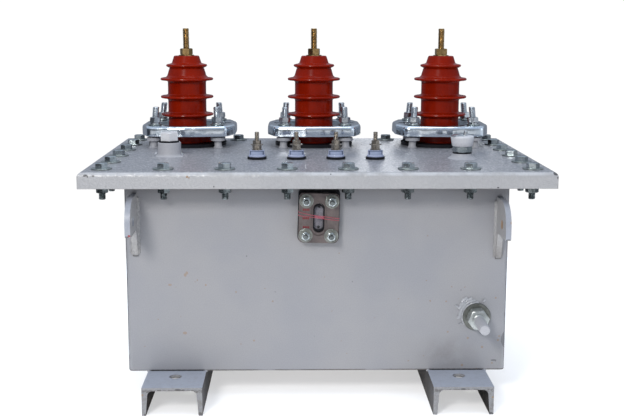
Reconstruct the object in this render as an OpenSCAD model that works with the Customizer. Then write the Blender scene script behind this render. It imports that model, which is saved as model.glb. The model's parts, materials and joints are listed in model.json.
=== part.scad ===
// Oil-filled three-phase combined metering transformer.
// Millimetres, +Z up, front towards -Y. The origin is on the floor, under
// the middle of the tank.

/* [Tank] */
// Outside width of the tank
tank_w = 650; // [640:2:660]
// Outside depth of the tank
tank_d = 400; // [390:2:410]
// Thickness of the wall plate
wall_t = 4; // [3:0.5:6]
// Thickness of the floor plate
floor_t = 5; // [4:0.5:8]
// Radius of the folded upright corners
corner_r = 8; // [6:1:12]
// Radius of the tank's folded lower edges
bottom_r = 3.5; // [1:0.5:3.5]
// Thickness of the welded rim bar
rim_t = 12; // [8:1:14]
// Distance the rim bar stands out from the walls
rim_out = 55; // [50:1:57]
// Clearance of a hole over the stud in it
hole_gap = 3; // [2:0.5:4]

/* [Cover] */
// Clearance between the rim bar and the cover's folded edge
lip_gap = 4; // [2:0.5:8]
// Thickness of the cover plate
cover_t = 6; // [5:0.5:7]
// Height of the folded edge, outside
lip_h = 27; // [24:1:34]
// Outside radius of the fold
fold_r = 8; // [7:0.5:10]
// Height of the cover's top face above the floor
cover_z = 402; // [396:1:406]
// Thickness of the gasket under the cover
seal_t = 8; // [6:0.5:10]

/* [Feet] */
// Width of the channel, outside
foot_w = 100; // [96:1:110]
// Height of the channel
foot_h = 48; // [44:1:54]
// Distance a channel runs out in front of the tank
foot_out = 90; // [80:2:100]
// Middle of a channel, in from the tank's side
foot_in = 84; // [60:2:110]
// Thickness of the channel's web
web_t = 5.3; // [4:0.1:8]
// Thickness of the channel's flange at its root
flange_root = 10; // [8:0.5:12]
// Thickness of the channel's flange at its toe
flange_toe = 6.5; // [4:0.5:8]
// Radius inside the channel
root_r = 8.5; // [6:0.5:10]
// Diameter of the fixing holes
fix_d = 20; // [14:1:24]
// Distance of the fixing holes from the channel's end
fix_in = 58; // [45:1:66]

/* [Lifting lugs] */
// Distance a lug stands out from the wall
lug_out = 85; // [80:1:90]
// Height of a lug
lug_h = 103; // [96:1:110]
// Thickness of a lug
lug_t = 9; // [8:0.5:12]
// Outer face of a lug, in from the tank's side
lug_in = 13; // [10:1:30]
// Height of the foot of the left lugs
lug_left_z = 255; // [240:1:262]
// Height of the foot of the right lugs
lug_right_z = 249; // [240:1:262]
// Diameter of the hook hole
lug_hole_d = 16; // [12:1:20]
// Distance of the hook hole from the wall
lug_hole_out = 50; // [46:1:52]
// Height of the hook hole above the foot of the lug
lug_hole_up = 64; // [60:1:66]
// Distance of the tail's lower front corner from the wall
lug_tail = 46; // [40:1:52]
// Radius of the tail's lower front corner
lug_tail_r = 10; // [6:1:14]
// Distance of the tail from the wall, under the step
lug_step_out = 61; // [56:1:66]
// Height of the step above the foot of the lug
lug_step_up = 43; // [38:1:46]
// Radius of the lug's upper front corner
lug_top_r = 40; // [30:1:46]

/* [High voltage bushings] */
// Distance between bushing axes
hv_pitch = 250; // [240:2:254]
// Position of the bushings in front of the tank's back
hv_in = 50; // [44:2:80]
// Radius of the barrel
barrel_r = 37.4; // [36:0.2:38]
// Radius of the base inside the clamp
base_r = 51; // [50:0.5:52]
// Radius of the large sheds
shed_r = 51.6; // [48:0.2:54]
// Radius of the top shed
shed_top_r = 40; // [38:0.5:42]
// Radius of a shed's edge
shed_edge = 2.4; // [1.5:0.1:2.6]
// Height of the bushing above the cover
hv_h = 174; // [173:0.2:176]
// Height of the lowest shed above the cover
first_shed = 59.6; // [59:0.2:61]
// Distance between the large sheds
shed_pitch = 34.6; // [34:0.2:35]
// Height of the top shed above the cover
top_shed = 155.2; // [155:0.2:156]
// Radius of the bushing's top
neck_r = 23.6; // [22:0.2:24]
// Radius of the spigot through the cover
spigot_r = 30; // [28:1:34]
// Radius of the rubber ring under a bushing
hv_seal_r = 76; // [72:1:77]
// Thickness of the rubber ring under a bushing
hv_seal_t = 6; // [5:0.5:7]
// Half the distance between clamp studs
stud_half = 59; // [58:0.5:60]
// Height of the spacer collar's foot above the cover
collar_z = 13; // [10:0.5:16]
// Height of the spacer collar on a clamp stud
collar_h = 7; // [5:0.5:8]
// Radius of the spacer collar
collar_r = 14; // [13:0.5:15]
// Radius of the plain washer on a clamp stud
washer_r = 13; // [12:0.5:14]
// Thickness of the plain washer
washer_t = 2.5; // [2:0.1:3]
// Thickness of the spring washer
spring_t = 3; // [2.5:0.1:3.5]
// Distance across the flats of the clamp nuts
stud_af = 19; // [18:0.5:20]
// Height of the clamp nuts
nut_h = 10; // [9:0.2:11]
// Diameter of the clamp studs
stud_d = 12; // [10:1:13]
// Height of the clamp studs above the cover
stud_h = 78; // [72:1:82]
// Diameter of the terminal stud
hv_stud_d = 12; // [10:1:13]
// Length of the terminal stud above the bushing
hv_stud_h = 53; // [48:0.2:58]
// Length of the terminal stud inside the bushing
hv_sunk = 30; // [24:1:36]
// Radius of the terminal's washer
hv_washer_r = 15; // [13:0.5:16]
// Thickness of the terminal's washer
hv_washer_t = 1.8; // [1.5:0.1:2.5]
// Distance across the flats of the terminal's nut
hv_af = 21.5; // [18:0.5:22]
// Height of the terminal's nut
hv_nut_h = 12.6; // [10:0.2:14]

/* [Pressed clamps] */
// Height of the clamp's top face above the cover
clamp_top = 43; // [42:0.5:44]
// Depth of the clamp's skirt, over all
clamp_depth = 20; // [18:0.5:24]
// Thickness of the pressed plate
clamp_t = 4; // [3:0.5:4]
// Radius of the hole round the barrel
clamp_hole_r = 43; // [41:0.5:46]
// Depth of the dish below the clamp's top face
dish_h = 11; // [9:0.5:12]
// Radius of the dish at the clamp's top face
dish_r = 66; // [64:0.5:66]
// Distance of a side lobe from the middle, across
lobe_x = 75; // [74:0.5:76]
// Half the distance between a pair of side lobes
lobe_y = 30; // [26:1:34]
// Radius of a lobe
lobe_r = 16; // [15:0.5:17]
// Radius of the four corner lobes
nose_r = 12; // [10:0.5:16]
// Front of the clamp from its middle
crown_y = 87; // [86:0.5:88]
// Radius of the crown's corners
crown_r = 25; // [22:1:28]

/* [Low voltage terminals] */
// Distance between terminals
lv_pitch = 70; // [60:1:76]
// Position of the terminals behind the tank's front
lv_in = 112; // [100:1:130]
// Diameter of the terminal studs
lv_stud_d = 8; // [6:1:8]
// Height of the terminal studs above the cover
lv_stud_h = 48; // [44:1:54]
// Radius of the rubber ring under a terminal
lv_seal_r = 17; // [16:0.5:18]
// Thickness of the rubber ring under a terminal
lv_seal_t = 4; // [3:0.5:5]
// Radius of the insulator's foot
lv_foot_r = 15.3; // [14.5:0.1:16]
// Radius of the insulator's body
lv_body_r = 13.2; // [12:0.1:14]
// Height of the insulator
lv_body_h = 12; // [10:0.5:14]
// Radius of the lower washer
lv_low_r = 9.4; // [9:0.1:10]
// Thickness of the lower washer
lv_low_t = 2; // [1.5:0.1:2.5]
// Distance across the flats of the lower nut
lv_low_af = 14; // [13:0.5:15]
// Height of the lower nut
lv_low_h = 7; // [6:0.2:8]
// Radius of the upper washer
lv_top_r = 11.2; // [10:0.1:12]
// Thickness of the upper washer
lv_top_t = 1.6; // [1.2:0.1:2]
// Distance across the flats of the upper nut
lv_top_af = 13; // [12:0.5:14]
// Height of the upper nut
lv_top_h = 6.8; // [6:0.2:8]

/* [Filler and breather] */
// Filler position in from the tank's left side
filler_in = 60; // [46:1:75]
// Filler position behind the tank's front
filler_back = 157; // [140:1:164]
// Outside radius of the filler neck
filler_r = 21; // [20:0.5:23]
// Wall of the filler neck
filler_t = 5; // [4:0.5:6]
// Height of the filler neck
filler_h = 25; // [20:1:30]
// Radius of the filler's rubber ring
filler_seal_r = 19; // [18:0.5:20]
// Thickness of the filler's rubber ring
filler_seal_t = 3; // [2:0.5:4]
// Distance across the flats of the filler plug
filler_af = 30; // [28:1:32]
// Height of the filler plug's head
filler_plug_h = 15; // [12:0.5:17]
// Breather position in from the tank's right side
breather_in = 64; // [46:1:75]
// Breather position behind the tank's front
breather_back = 121; // [110:1:130]
// Outside radius of the breather neck
breather_r = 18; // [17:0.5:20]
// Radius of the bore in the breather neck
breather_bore = 8; // [6:0.5:10]
// Height of the breather neck
breather_h = 9; // [7:0.5:11]
// Radius of the breather's rubber ring
breather_seal_r = 17; // [16:0.5:18]
// Thickness of the breather's rubber ring
breather_seal_t = 2; // [1.5:0.5:3]
// Distance across the flats of the breather nut
breather_af = 30; // [28:1:32]
// Height of the breather nut
breather_nut_h = 11; // [9:0.5:13]
// Radius of the breather cap at its foot
cap_foot_r = 18.4; // [17.5:0.1:19]
// Radius of the breather cap near its top
cap_top_r = 20.8; // [20:0.1:22]
// Height of the breather cap
cap_h = 18.5; // [16:0.5:20]

/* [Level gauge] */
// Width of the gauge frame
gauge_w = 67; // [64:1:70]
// Height of the gauge frame
gauge_h = 84; // [82:1:86]
// Thickness of the gauge frame
gauge_t = 12; // [10:1:16]
// Middle of the gauge to the right of the tank's middle
gauge_x = 2; // [-20:1:20]
// Height of the gauge's middle
gauge_z = 318; // [300:1:322]
// Lean of the gauge on the wall, degrees
gauge_lean = 1.5; // [0:0.5:2]
// Distance between gauge studs, across
gauge_bolt_x = 43; // [42:1:44]
// Distance between gauge studs, up
gauge_bolt_z = 58.5; // [56:0.5:60]
// Radius of the frame's corners
gauge_r = 8; // [4:0.5:8]
// Thickness of the gasket behind the frame
gauge_seal_t = 5; // [4:0.5:6]
// Distance the gasket shows beside the frame
gauge_seal_out = 1.5; // [1:0.5:3]
// Distance the gasket shows above the frame
gauge_seal_up = 7.5; // [5:0.5:8]
// Width of the sight slot
slot_w = 19.5; // [18:0.5:21]
// Height of the sight slot
slot_h = 50; // [48:0.5:52]
// Distance the slot's step stands out from the slot
slot_step = 3.75; // [3:0.25:4]
// Depth of the slot's step
slot_depth = 3; // [2:0.5:4]
// Thickness of the glass
glass_t = 3; // [2:0.5:4]
// Width of the plate behind the glass
plate_w = 14.4; // [12:0.2:16]
// Height of the plate behind the glass
plate_h = 47; // [44:0.5:48]
// Diameter of the gauge studs
gauge_stud_d = 8; // [6:1:8]
// Distance the gauge studs stand out of the frame
gauge_stud_out = 20; // [16:0.5:22]
// Radius of the gauge washers
gauge_washer_r = 12; // [10:0.5:12]
// Thickness of the gauge washers
gauge_washer_t = 2; // [1.5:0.1:2.5]
// Distance across the flats of the gauge nuts
gauge_af = 13; // [12:0.5:14]
// Height of the gauge nuts
gauge_nut_h = 8; // [6:0.5:9]

/* [Drain valve] */
// Valve position in from the tank's right side
drain_in = 51.5; // [44:0.5:80]
// Height of the valve
drain_z = 143.5; // [120:0.5:180]
// Distance the spout stands out from the wall
drain_out = 88; // [60:1:89]
// Radius of the spout
spout_r = 8.3; // [7:0.1:10]
// Radius of the flange on the wall
flange_r = 24; // [20:0.5:28]
// Thickness of the flange
flange_t = 6; // [4:0.5:8]
// Distance across the flats of the valve's body
valve_af = 32.4; // [30:0.2:36]
// Length of the valve's body
valve_h = 23; // [20:0.5:26]
// Length of the collar on the spout
collar_len = 4; // [3:0.5:6]
// Thickness of the collar on the spout
collar_out = 1.6; // [1:0.1:2]

/* [Hidden] */
fine = 64;
arc_n = 4;
sq3 = sqrt(3);
wall_y = tank_d / 2;
wall_x = tank_w / 2;
cover_w = tank_w + 2 * (rim_out + lip_gap + cover_t);
cover_d = tank_d + 2 * (rim_out + lip_gap + cover_t);
cover_under = cover_z - cover_t;
rim_top = cover_under - seal_t;
rim_z = rim_top - rim_t;
lip_z = cover_z - lip_h;
foot_l = tank_d + 2 * foot_out;
foot_pitch = tank_w - 2 * foot_in;
fix_y = foot_l / 2 - fix_in;
lug_x = wall_x - lug_in - lug_t;
hv_y = wall_y - hv_in;
lv_y = wall_y - lv_in;
filler_x = wall_x - filler_in;
filler_y = wall_y - filler_back;
breather_x = wall_x - breather_in;
breather_y = wall_y - breather_back;
drain_x = wall_x - drain_in;
filler_bore = filler_r - filler_t;
lv_bore = lv_stud_d / 2 + hole_gap;
cap_z = cover_z + breather_h + breather_seal_t + breather_nut_h;
hv_seat = cover_z + hv_seal_t;
hv_top = cover_z + hv_h;
clamp_z = cover_z + clamp_top;
shoulder_z = clamp_z - dish_h;
lv_seat = cover_z + lv_seal_t;

// ---- helpers ----

// Points on an arc, from angle a0 to angle a1 in n steps.
function arc(c, r, a0, a1, n) =
  [for (i = [0 : n]) let (a = a0 + (a1 - a0) * i / n)
    [c[0] + r * cos(a), c[1] + r * sin(a)]];

// A rectangle with rounded corners, centred, true arcs.
module round_rect(w, d, r) {
  square([w - 2 * r, d], center = true);
  square([w, d - 2 * r], center = true);
  for (sx = [-1, 1], sy = [-1, 1])
    translate([sx * (w / 2 - r), sy * (d / 2 - r)]) circle(r, $fn = fine);
}

// A rounded slot standing up, with its centre at the origin.
module slot2d(w, h) {
  square([w, h - w], center = true);
  for (s = [-1, 1]) translate([0, s * (h - w) / 2]) circle(w / 2, $fn = fine);
}

// A section with two rounded upper corners, from z0 to z1.
module bent_section(w, z0, z1, r) {
  translate([-w / 2, z0]) square([w, z1 - z0 - r]);
  translate([-w / 2 + r, z0]) square([w - 2 * r, z1 - z0]);
  for (s = [-1, 1]) translate([s * (w / 2 - r), z1 - r]) circle(r, $fn = fine);
}

// A block with folded upper edges: two sections crossed.
module folded_block(w, d, z0, z1, r) {
  intersection() {
    translate([0, d / 2, 0]) rotate([90, 0, 0])
      linear_extrude(d) bent_section(w, z0, z1, r);
    rotate([0, 0, 90]) translate([0, w / 2, 0]) rotate([90, 0, 0])
      linear_extrude(w) bent_section(d, z0, z1, r);
  }
}

module hex(af, h) { cylinder(r = af / sq3, h = h, $fn = 6); }
module disc(r, h) { cylinder(r = r, h = h, $fn = fine); }

// A plain stud standing up, with a chamfered end.
module stud(d, h) {
  c = d / 12;
  disc(d / 2, h - c);
  translate([0, 0, h - c]) cylinder(r1 = d / 2, r2 = d / 2 - c, h = c, $fn = fine);
}

module ring(r, hole, h) {
  difference() {
    disc(r, h);
    translate([0, 0, -1]) disc(hole, h + 2);
  }
}

// ---- feet ----

module foot_section() {
  w = foot_w / 2;
  wi = w - flange_root;
  toe = w - flange_toe;
  zi = foot_h - web_t;
  lean = atan((toe - wi) / zi);
  difference() {
    translate([-w, 0]) square([foot_w, foot_h]);
    polygon(concat(
      [[-toe - 1, -1], [toe + 1, -1], [toe, 0]],
      arc([wi + (toe - wi) * root_r / zi - root_r / cos(lean), zi - root_r],
          root_r, lean, 90, 8),
      arc([-wi - (toe - wi) * root_r / zi + root_r / cos(lean), zi - root_r],
          root_r, 90, 180 - lean, 8),
      [[-toe, 0]]));
  }
}

module foot(side) {
  color([0.66, 0.67, 0.70])
  difference() {
    translate([side * foot_pitch / 2, foot_l / 2, 0]) rotate([90, 0, 0])
      linear_extrude(foot_l) foot_section();
    for (s = [-1, 1])
      translate([side * foot_pitch / 2, s * fix_y, foot_h - web_t - 2])
        cylinder(d = fix_d, h = web_t + 4, $fn = fine);
  }
}

// ---- tank ----

module tank_ring() {
  difference() {
    round_rect(tank_w, tank_d, corner_r);
    round_rect(tank_w - 2 * wall_t, tank_d - 2 * wall_t, corner_r - wall_t);
  }
}

// Front view of the tank, with two rounded lower corners, run front to back.
module tank_front() {
  translate([0, wall_y + 1, 0]) rotate([90, 0, 0])
    linear_extrude(tank_d + 2) {
      translate([-wall_x, foot_h + bottom_r])
        square([tank_w, rim_top - foot_h - bottom_r]);
      translate([-wall_x + bottom_r, foot_h])
        square([tank_w - 2 * bottom_r, rim_top - foot_h]);
      for (s = [-1, 1])
        translate([s * (wall_x - bottom_r), foot_h + bottom_r])
          circle(bottom_r, $fn = fine);
    }
}

// Front or back sheet, with the folded corners on it.
module long_wall(side) {
  color([0.66, 0.67, 0.70])
  intersection() {
    translate([0, 0, foot_h]) linear_extrude(rim_top - foot_h)
      intersection() {
        tank_ring();
        translate([-wall_x, side > 0 ? wall_y - corner_r : -wall_y])
          square([tank_w, corner_r]);
      }
    tank_front();
  }
}

module end_wall(side) {
  color([0.66, 0.67, 0.70])
  intersection() {
    translate([side > 0 ? wall_x - wall_t : -wall_x, -wall_y + corner_r, foot_h])
      cube([wall_t, tank_d - 2 * corner_r, rim_top - foot_h]);
    tank_front();
  }
}

module tank_floor() {
  color([0.66, 0.67, 0.70])
  translate([0, 0, foot_h]) linear_extrude(floor_t)
    round_rect(tank_w - 2 * wall_t, tank_d - 2 * wall_t, corner_r - wall_t);
}

module tank_rim() {
  color([0.62, 0.63, 0.66])
  translate([0, 0, rim_z]) linear_extrude(rim_t)
    difference() {
      square([tank_w + 2 * rim_out, tank_d + 2 * rim_out], center = true);
      round_rect(tank_w, tank_d, corner_r);
    }
}

module cover_gasket() {
  color([0.10, 0.10, 0.10])
  translate([0, 0, rim_top]) linear_extrude(seal_t)
    difference() {
      square([tank_w + 2 * rim_out - 4, tank_d + 2 * rim_out - 4], center = true);
      round_rect(tank_w - 2 * wall_t, tank_d - 2 * wall_t, corner_r - wall_t);
    }
}

module cover() {
  color([0.68, 0.69, 0.73])
  difference() {
    folded_block(cover_w, cover_d, lip_z, cover_z, fold_r);
    folded_block(cover_w - 2 * cover_t, cover_d - 2 * cover_t,
                 lip_z - 5, cover_under, fold_r - cover_t);
    translate([0, 0, cover_under - 2]) {
      for (i = [-1 : 1]) translate([i * hv_pitch, hv_y, 0])
        disc(spigot_r, cover_t + 4);
      for (i = [0 : 3]) translate([lv_x(i), -lv_y, 0])
        disc(lv_bore, cover_t + 4);
      translate([-filler_x, -filler_y, 0]) disc(filler_bore, cover_t + 4);
      translate([breather_x, -breather_y, 0]) disc(breather_bore, cover_t + 4);
    }
  }
}

// ---- high voltage bushings ----

// One shed, from its lower root round its edge to its upper root.
function shed(r, low, high, z, down, up) = concat(
  [[low, z - down], [low + 0.8, z - down + 1.2], [low + 3.5, z - shed_edge - 0.8]],
  arc([r - shed_edge, z], shed_edge, -80, 80, 6),
  [[high + 3.5, z + shed_edge + 1.2], [high + 0.8, z + up - 1.2], [high, z + up]]);

module bushing_section() {
  z0 = cover_z;
  zs = z0 + first_shed;
  zt = z0 + top_shed;
  b = barrel_r;
  polygon(concat(
    // spigot, base and shoulder
    [[0, cover_under - 6], [spigot_r, cover_under - 6], [spigot_r, hv_seat],
     [base_r - 1.5, hv_seat], [base_r, hv_seat + 1.5],
     [base_r, shoulder_z - 1.5], [base_r - 1.5, shoulder_z],
     [b + 3, shoulder_z], [b + 0.8, shoulder_z + 3], [b, shoulder_z + 8]],
    // barrel with three large sheds
    shed(shed_r - 0.6, b, b, zs, 6.4, 6),
    shed(shed_r, b, b, zs + shed_pitch, 6.2, 6),
    shed(shed_r, b, b + 0.6, zs + 2 * shed_pitch, 5.6, 7.4),
    // two tapered necks with the top shed between them
    [[b - 3, zt - 6.6]],
    shed(shed_top_r, b - 4, neck_r + 5, zt, 5.4, 5.8),
    [[neck_r + 1.3, hv_top - 1.4], [neck_r, hv_top], [0, hv_top]]));
}

module hv_bushing(x) {
  color([0.52, 0.12, 0.09])
  translate([x, hv_y, 0])
  difference() {
    rotate_extrude($fn = 96) bushing_section();
    translate([0, 0, hv_top - hv_sunk]) disc(hv_stud_d / 2, hv_sunk + 10);
  }
}

module hv_terminal(x) {
  color([0.66, 0.52, 0.27])
  translate([x, hv_y, 0]) {
    translate([0, 0, hv_top - hv_sunk]) stud(hv_stud_d, hv_sunk + hv_stud_h);
    translate([0, 0, hv_top]) disc(hv_washer_r, hv_washer_t);
    translate([0, 0, hv_top + hv_washer_t]) rotate([0, 0, 12])
      hex(hv_af, hv_nut_h);
  }
}

// Clamp outline: circles joined by straight sides, drawn in by t.
lobes = [[lobe_x, lobe_y, lobe_r],
         [stud_half + lobe_r - nose_r, stud_half + 5 + lobe_r - nose_r, nose_r],
         [lobe_r, crown_y - crown_r, crown_r]];
ring_circles = concat(
  lobes,
  [for (i = [2 : -1 : 0]) [-lobes[i][0], lobes[i][1], lobes[i][2]]],
  [for (i = [0 : 2]) [-lobes[i][0], -lobes[i][1], lobes[i][2]]],
  [for (i = [2 : -1 : 0]) [lobes[i][0], -lobes[i][1], lobes[i][2]]]);
lobe_n = len(ring_circles);

// Angle of the side that joins circle i to the next one.
function side_angle(i) =
  let (a = ring_circles[i % lobe_n], b = ring_circles[(i + 1) % lobe_n],
       dx = b[0] - a[0], dy = b[1] - a[1])
  atan2(dy, dx) - acos((a[2] - b[2]) / norm([dx, dy]));

function turn(a, b) = let (d = (b - a) % 360) d < 0 ? d + 360 : d;

function outline(t) = [
  for (i = [0 : lobe_n - 1], k = [0 : arc_n])
    let (c = ring_circles[i],
         a0 = side_angle((i + lobe_n - 1) % lobe_n),
         a = a0 + turn(a0, side_angle(i)) * k / arc_n)
    [c[0] + (c[2] - t) * cos(a), c[1] + (c[2] - t) * sin(a)]];

function round_to(r) = [for (p = outline(0)) p * (r / norm(p))];
function at_z(pts, z) = [for (p = pts) [p[0], p[1], z]];

// The pressed plate: closed rings from the outer skirt over the rim, down
// into the dish round the hole, and back underneath.
module clamp_shell() {
  t = clamp_t;
  z = clamp_z;
  n = lobe_n * (arc_n + 1);
  rings = [
    at_z(outline(0), z - clamp_depth),
    at_z(outline(0), z - 5),
    at_z(outline(0.8), z - 2.4),
    at_z(outline(2.4), z - 0.8),
    at_z(outline(5), z),
    at_z(round_to(dish_r), z),
    at_z(round_to(dish_r - 3), z - 1.5),
    at_z(round_to(dish_r - 7), z - dish_h + t + 1),
    at_z(round_to(dish_r - 10), z - dish_h + t),
    at_z(round_to(clamp_hole_r), z - dish_h + t),
    at_z(round_to(clamp_hole_r), z - dish_h),
    at_z(round_to(dish_r - 10), z - dish_h),
    at_z(round_to(dish_r - 3), z - t),
    at_z(outline(t + 3), z - t),
    at_z(outline(t), z - t - 3),
    at_z(outline(t), z - clamp_depth)
  ];
  m = len(rings);
  polyhedron(
    points = [for (q = rings) each q],
    faces = [for (i = [0 : m - 1], k = [0 : n - 1])
      let (a = i * n + k, b = i * n + (k + 1) % n,
           c = ((i + 1) % m) * n + (k + 1) % n, d = ((i + 1) % m) * n + k)
      each [[a, c, b], [a, d, c]]],
    convexity = 6);
}

module hv_clamp(x) {
  color([0.74, 0.77, 0.80])
  translate([x, hv_y, 0])
  difference() {
    clamp_shell();
    for (sx = [-1, 1], sy = [-1, 1])
      translate([sx * stud_half, sy * stud_half, clamp_z - clamp_t - 4])
        disc(stud_d / 2 + 1, clamp_t + 8);
    for (sx = [-1, 1])
      translate([sx * (lobe_x - 1), 0, clamp_z - clamp_t - 4])
        disc(stud_d / 2 + 0.5, clamp_t + 8);
  }
}

module hv_studs(x) {
  color([0.66, 0.68, 0.70])
  for (sx = [-1, 1], sy = [-1, 1])
    translate([x + sx * stud_half, hv_y + sy * stud_half, cover_z]) {
      stud(stud_d, stud_h);
      translate([0, 0, collar_z]) disc(collar_r, collar_h);
      translate([0, 0, clamp_top]) disc(washer_r, washer_t);
      translate([0, 0, clamp_top + washer_t]) disc(stud_af / 2, spring_t);
      translate([0, 0, clamp_top + washer_t + spring_t])
        rotate([0, 0, 30 + 17 * sx * sy]) hex(stud_af, nut_h);
    }
}

// ---- low voltage terminals ----

function lv_x(i) = (i - 1.5) * lv_pitch;

module lv_insulator(i) {
  color([0.80, 0.81, 0.83])
  translate([lv_x(i), -lv_y, 0])
  difference() {
    rotate_extrude($fn = fine) polygon([
      [0, cover_under], [lv_bore, cover_under],
      [lv_bore, lv_seat], [lv_foot_r - 0.5, lv_seat], [lv_foot_r, lv_seat + 0.6],
      [lv_foot_r, lv_seat + 1.8], [lv_body_r + 0.4, lv_seat + 4.6],
      [lv_body_r, lv_seat + lv_body_h - 0.8],
      [lv_body_r - 0.8, lv_seat + lv_body_h], [0, lv_seat + lv_body_h]
    ]);
    translate([0, 0, cover_under - 1]) disc(lv_stud_d / 2, lv_body_h + 28);
  }
}

module lv_terminal(i) {
  color([0.62, 0.58, 0.52])
  translate([lv_x(i), -lv_y, 0]) {
    translate([0, 0, cover_under - lv_stud_d])
      disc(lv_stud_d / 2, cover_t + lv_stud_d + lv_stud_h);
    translate([0, 0, lv_seat + lv_body_h]) {
      disc(lv_low_r, lv_low_t);
      translate([0, 0, lv_low_t]) rotate([0, 0, 30 * i]) hex(lv_low_af, lv_low_h);
      translate([0, 0, lv_low_t + lv_low_h]) disc(lv_top_r, lv_top_t);
      translate([0, 0, lv_low_t + lv_low_h + lv_top_t]) rotate([0, 0, 20 + 25 * i])
        hex(lv_top_af, lv_top_h);
    }
  }
}

// Rubber rings under the bushings, terminals, filler plug and breather nut.
module top_gaskets() {
  color([0.07, 0.07, 0.07]) {
    for (i = [-1 : 1]) translate([i * hv_pitch, hv_y, cover_z])
      ring(hv_seal_r, spigot_r, hv_seal_t);
    for (i = [0 : 3]) translate([lv_x(i), -lv_y, cover_z])
      ring(lv_seal_r, lv_bore, lv_seal_t);
    translate([-filler_x, -filler_y, cover_z + filler_h])
      ring(filler_seal_r, filler_bore, filler_seal_t);
    translate([breather_x, -breather_y, cover_z + breather_h])
      ring(breather_seal_r, breather_bore, breather_seal_t);
  }
}

// ---- filler and breather ----

module filler_neck() {
  color([0.70, 0.70, 0.72])
  translate([-filler_x, -filler_y, cover_z])
    ring(filler_r, filler_bore, filler_h);
}

module filler_plug() {
  color([0.70, 0.70, 0.72])
  translate([-filler_x, -filler_y, cover_z + filler_h]) {
    translate([0, 0, -filler_h / 2]) disc(filler_bore, filler_h / 2 + filler_seal_t);
    translate([0, 0, filler_seal_t]) rotate([0, 0, 8]) hex(filler_af, filler_plug_h);
  }
}

module breather_neck() {
  color([0.70, 0.70, 0.72])
  translate([breather_x, -breather_y, cover_z])
    ring(breather_r, breather_bore, breather_h);
}

module breather_nut() {
  color([0.55, 0.57, 0.60])
  translate([breather_x, -breather_y, cover_z + breather_h]) {
    translate([0, 0, -breather_h - 1]) disc(breather_bore, breather_h + 1 + breather_seal_t);
    translate([0, 0, breather_seal_t]) rotate([0, 0, 22]) hex(breather_af, breather_nut_h);
  }
}

module breather_cap() {
  color([0.70, 0.70, 0.72])
  translate([breather_x, -breather_y, cap_z])
    rotate_extrude($fn = fine) polygon([
      [0, 0], [cap_foot_r - 0.8, 0], [cap_foot_r, 1], [cap_top_r, cap_h - 3.5],
      [cap_top_r - 0.8, cap_h - 1.1], [cap_top_r - 3.3, cap_h], [0, cap_h]
    ]);
}

// ---- level gauge ----

// Puts a part on the front wall, leaning with the gauge; its own Z points
// out of the wall.
module on_gauge(out) {
  translate([gauge_x, -wall_y - out, gauge_z]) rotate([0, gauge_lean, 0])
    rotate([90, 0, 0]) children();
}

module gauge_bolts() {
  for (sx = [-1, 1], sz = [-1, 1])
    translate([sx * gauge_bolt_x / 2, sz * gauge_bolt_z / 2, 0]) children();
}

module gauge_gasket() {
  color([0.08, 0.08, 0.08])
  on_gauge(0) difference() {
    translate([0, (gauge_seal_up - gauge_seal_out) / 2, 0])
      linear_extrude(gauge_seal_t)
        round_rect(gauge_w + 2 * gauge_seal_out,
                   gauge_h + gauge_seal_out + gauge_seal_up,
                   gauge_r + gauge_seal_out);
    gauge_bolts() translate([0, 0, -1]) disc(gauge_stud_d / 2, gauge_seal_t + 2);
  }
}

module gauge_frame() {
  color([0.30, 0.29, 0.28])
  on_gauge(gauge_seal_t) difference() {
    linear_extrude(gauge_t) round_rect(gauge_w, gauge_h, gauge_r);
    translate([0, 0, -1]) linear_extrude(gauge_t + 2) slot2d(slot_w, slot_h);
    translate([0, 0, gauge_t - slot_depth]) linear_extrude(slot_depth + 2)
      slot2d(slot_w + 2 * slot_step, slot_h * 1.2);
    gauge_bolts() translate([0, 0, -1]) disc(gauge_stud_d / 2, gauge_t + 2);
  }
}

module gauge_plate() {
  color([0.62, 0.62, 0.64])
  on_gauge(gauge_seal_t) linear_extrude(gauge_t / 6) slot2d(plate_w, plate_h);
}

module gauge_glass() {
  color([0.85, 0.88, 0.90, 0.35])
  on_gauge(gauge_seal_t + gauge_t / 4) linear_extrude(glass_t) slot2d(slot_w, slot_h);
}

module gauge_studs() {
  color([0.66, 0.67, 0.62])
  on_gauge(0) gauge_bolts() {
    disc(gauge_stud_d / 2, gauge_seal_t + gauge_t + gauge_stud_out);
    translate([0, 0, gauge_seal_t + gauge_t]) disc(gauge_washer_r, gauge_washer_t);
    translate([0, 0, gauge_seal_t + gauge_t + gauge_washer_t])
      hex(gauge_af, gauge_nut_h);
  }
}

// ---- lifting lugs ----

// Side view: u away from the wall, v up from the lug's foot.
module lug_side() {
  difference() {
    polygon(concat(
      [[0, 0]],
      arc([lug_tail - lug_tail_r, lug_tail_r], lug_tail_r, -90, -12, 6),
      [[lug_step_out, lug_step_up - 2], [lug_step_out + 2, lug_step_up],
       [lug_out - 3, lug_step_up], [lug_out, lug_step_up + 3]],
      arc([lug_out - lug_top_r, lug_h - lug_top_r], lug_top_r, 0, 90, 14),
      [[0, lug_h]]));
    translate([lug_hole_out, lug_hole_up]) circle(d = lug_hole_d, $fn = fine);
  }
}

module lug(side, end) {
  z0 = side < 0 ? lug_left_z : lug_right_z;
  color([0.66, 0.67, 0.70])
  translate([side > 0 ? lug_x : -lug_x - lug_t, end * wall_y, z0])
    mirror([0, end < 0 ? 1 : 0, 0])
      rotate([90, 0, 90]) linear_extrude(lug_t) lug_side();
}

// ---- drain valve ----

module drain_valve() {
  color([0.62, 0.63, 0.62])
  translate([drain_x, -wall_y, drain_z]) rotate([90, 0, 0]) {
    disc(flange_r, flange_t);
    translate([0, 0, flange_t]) rotate([0, 0, 30]) hex(valve_af, valve_h);
    disc(spout_r + collar_out, flange_t + valve_h + collar_len);
    stud(2 * spout_r, drain_out);
  }
}

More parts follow.
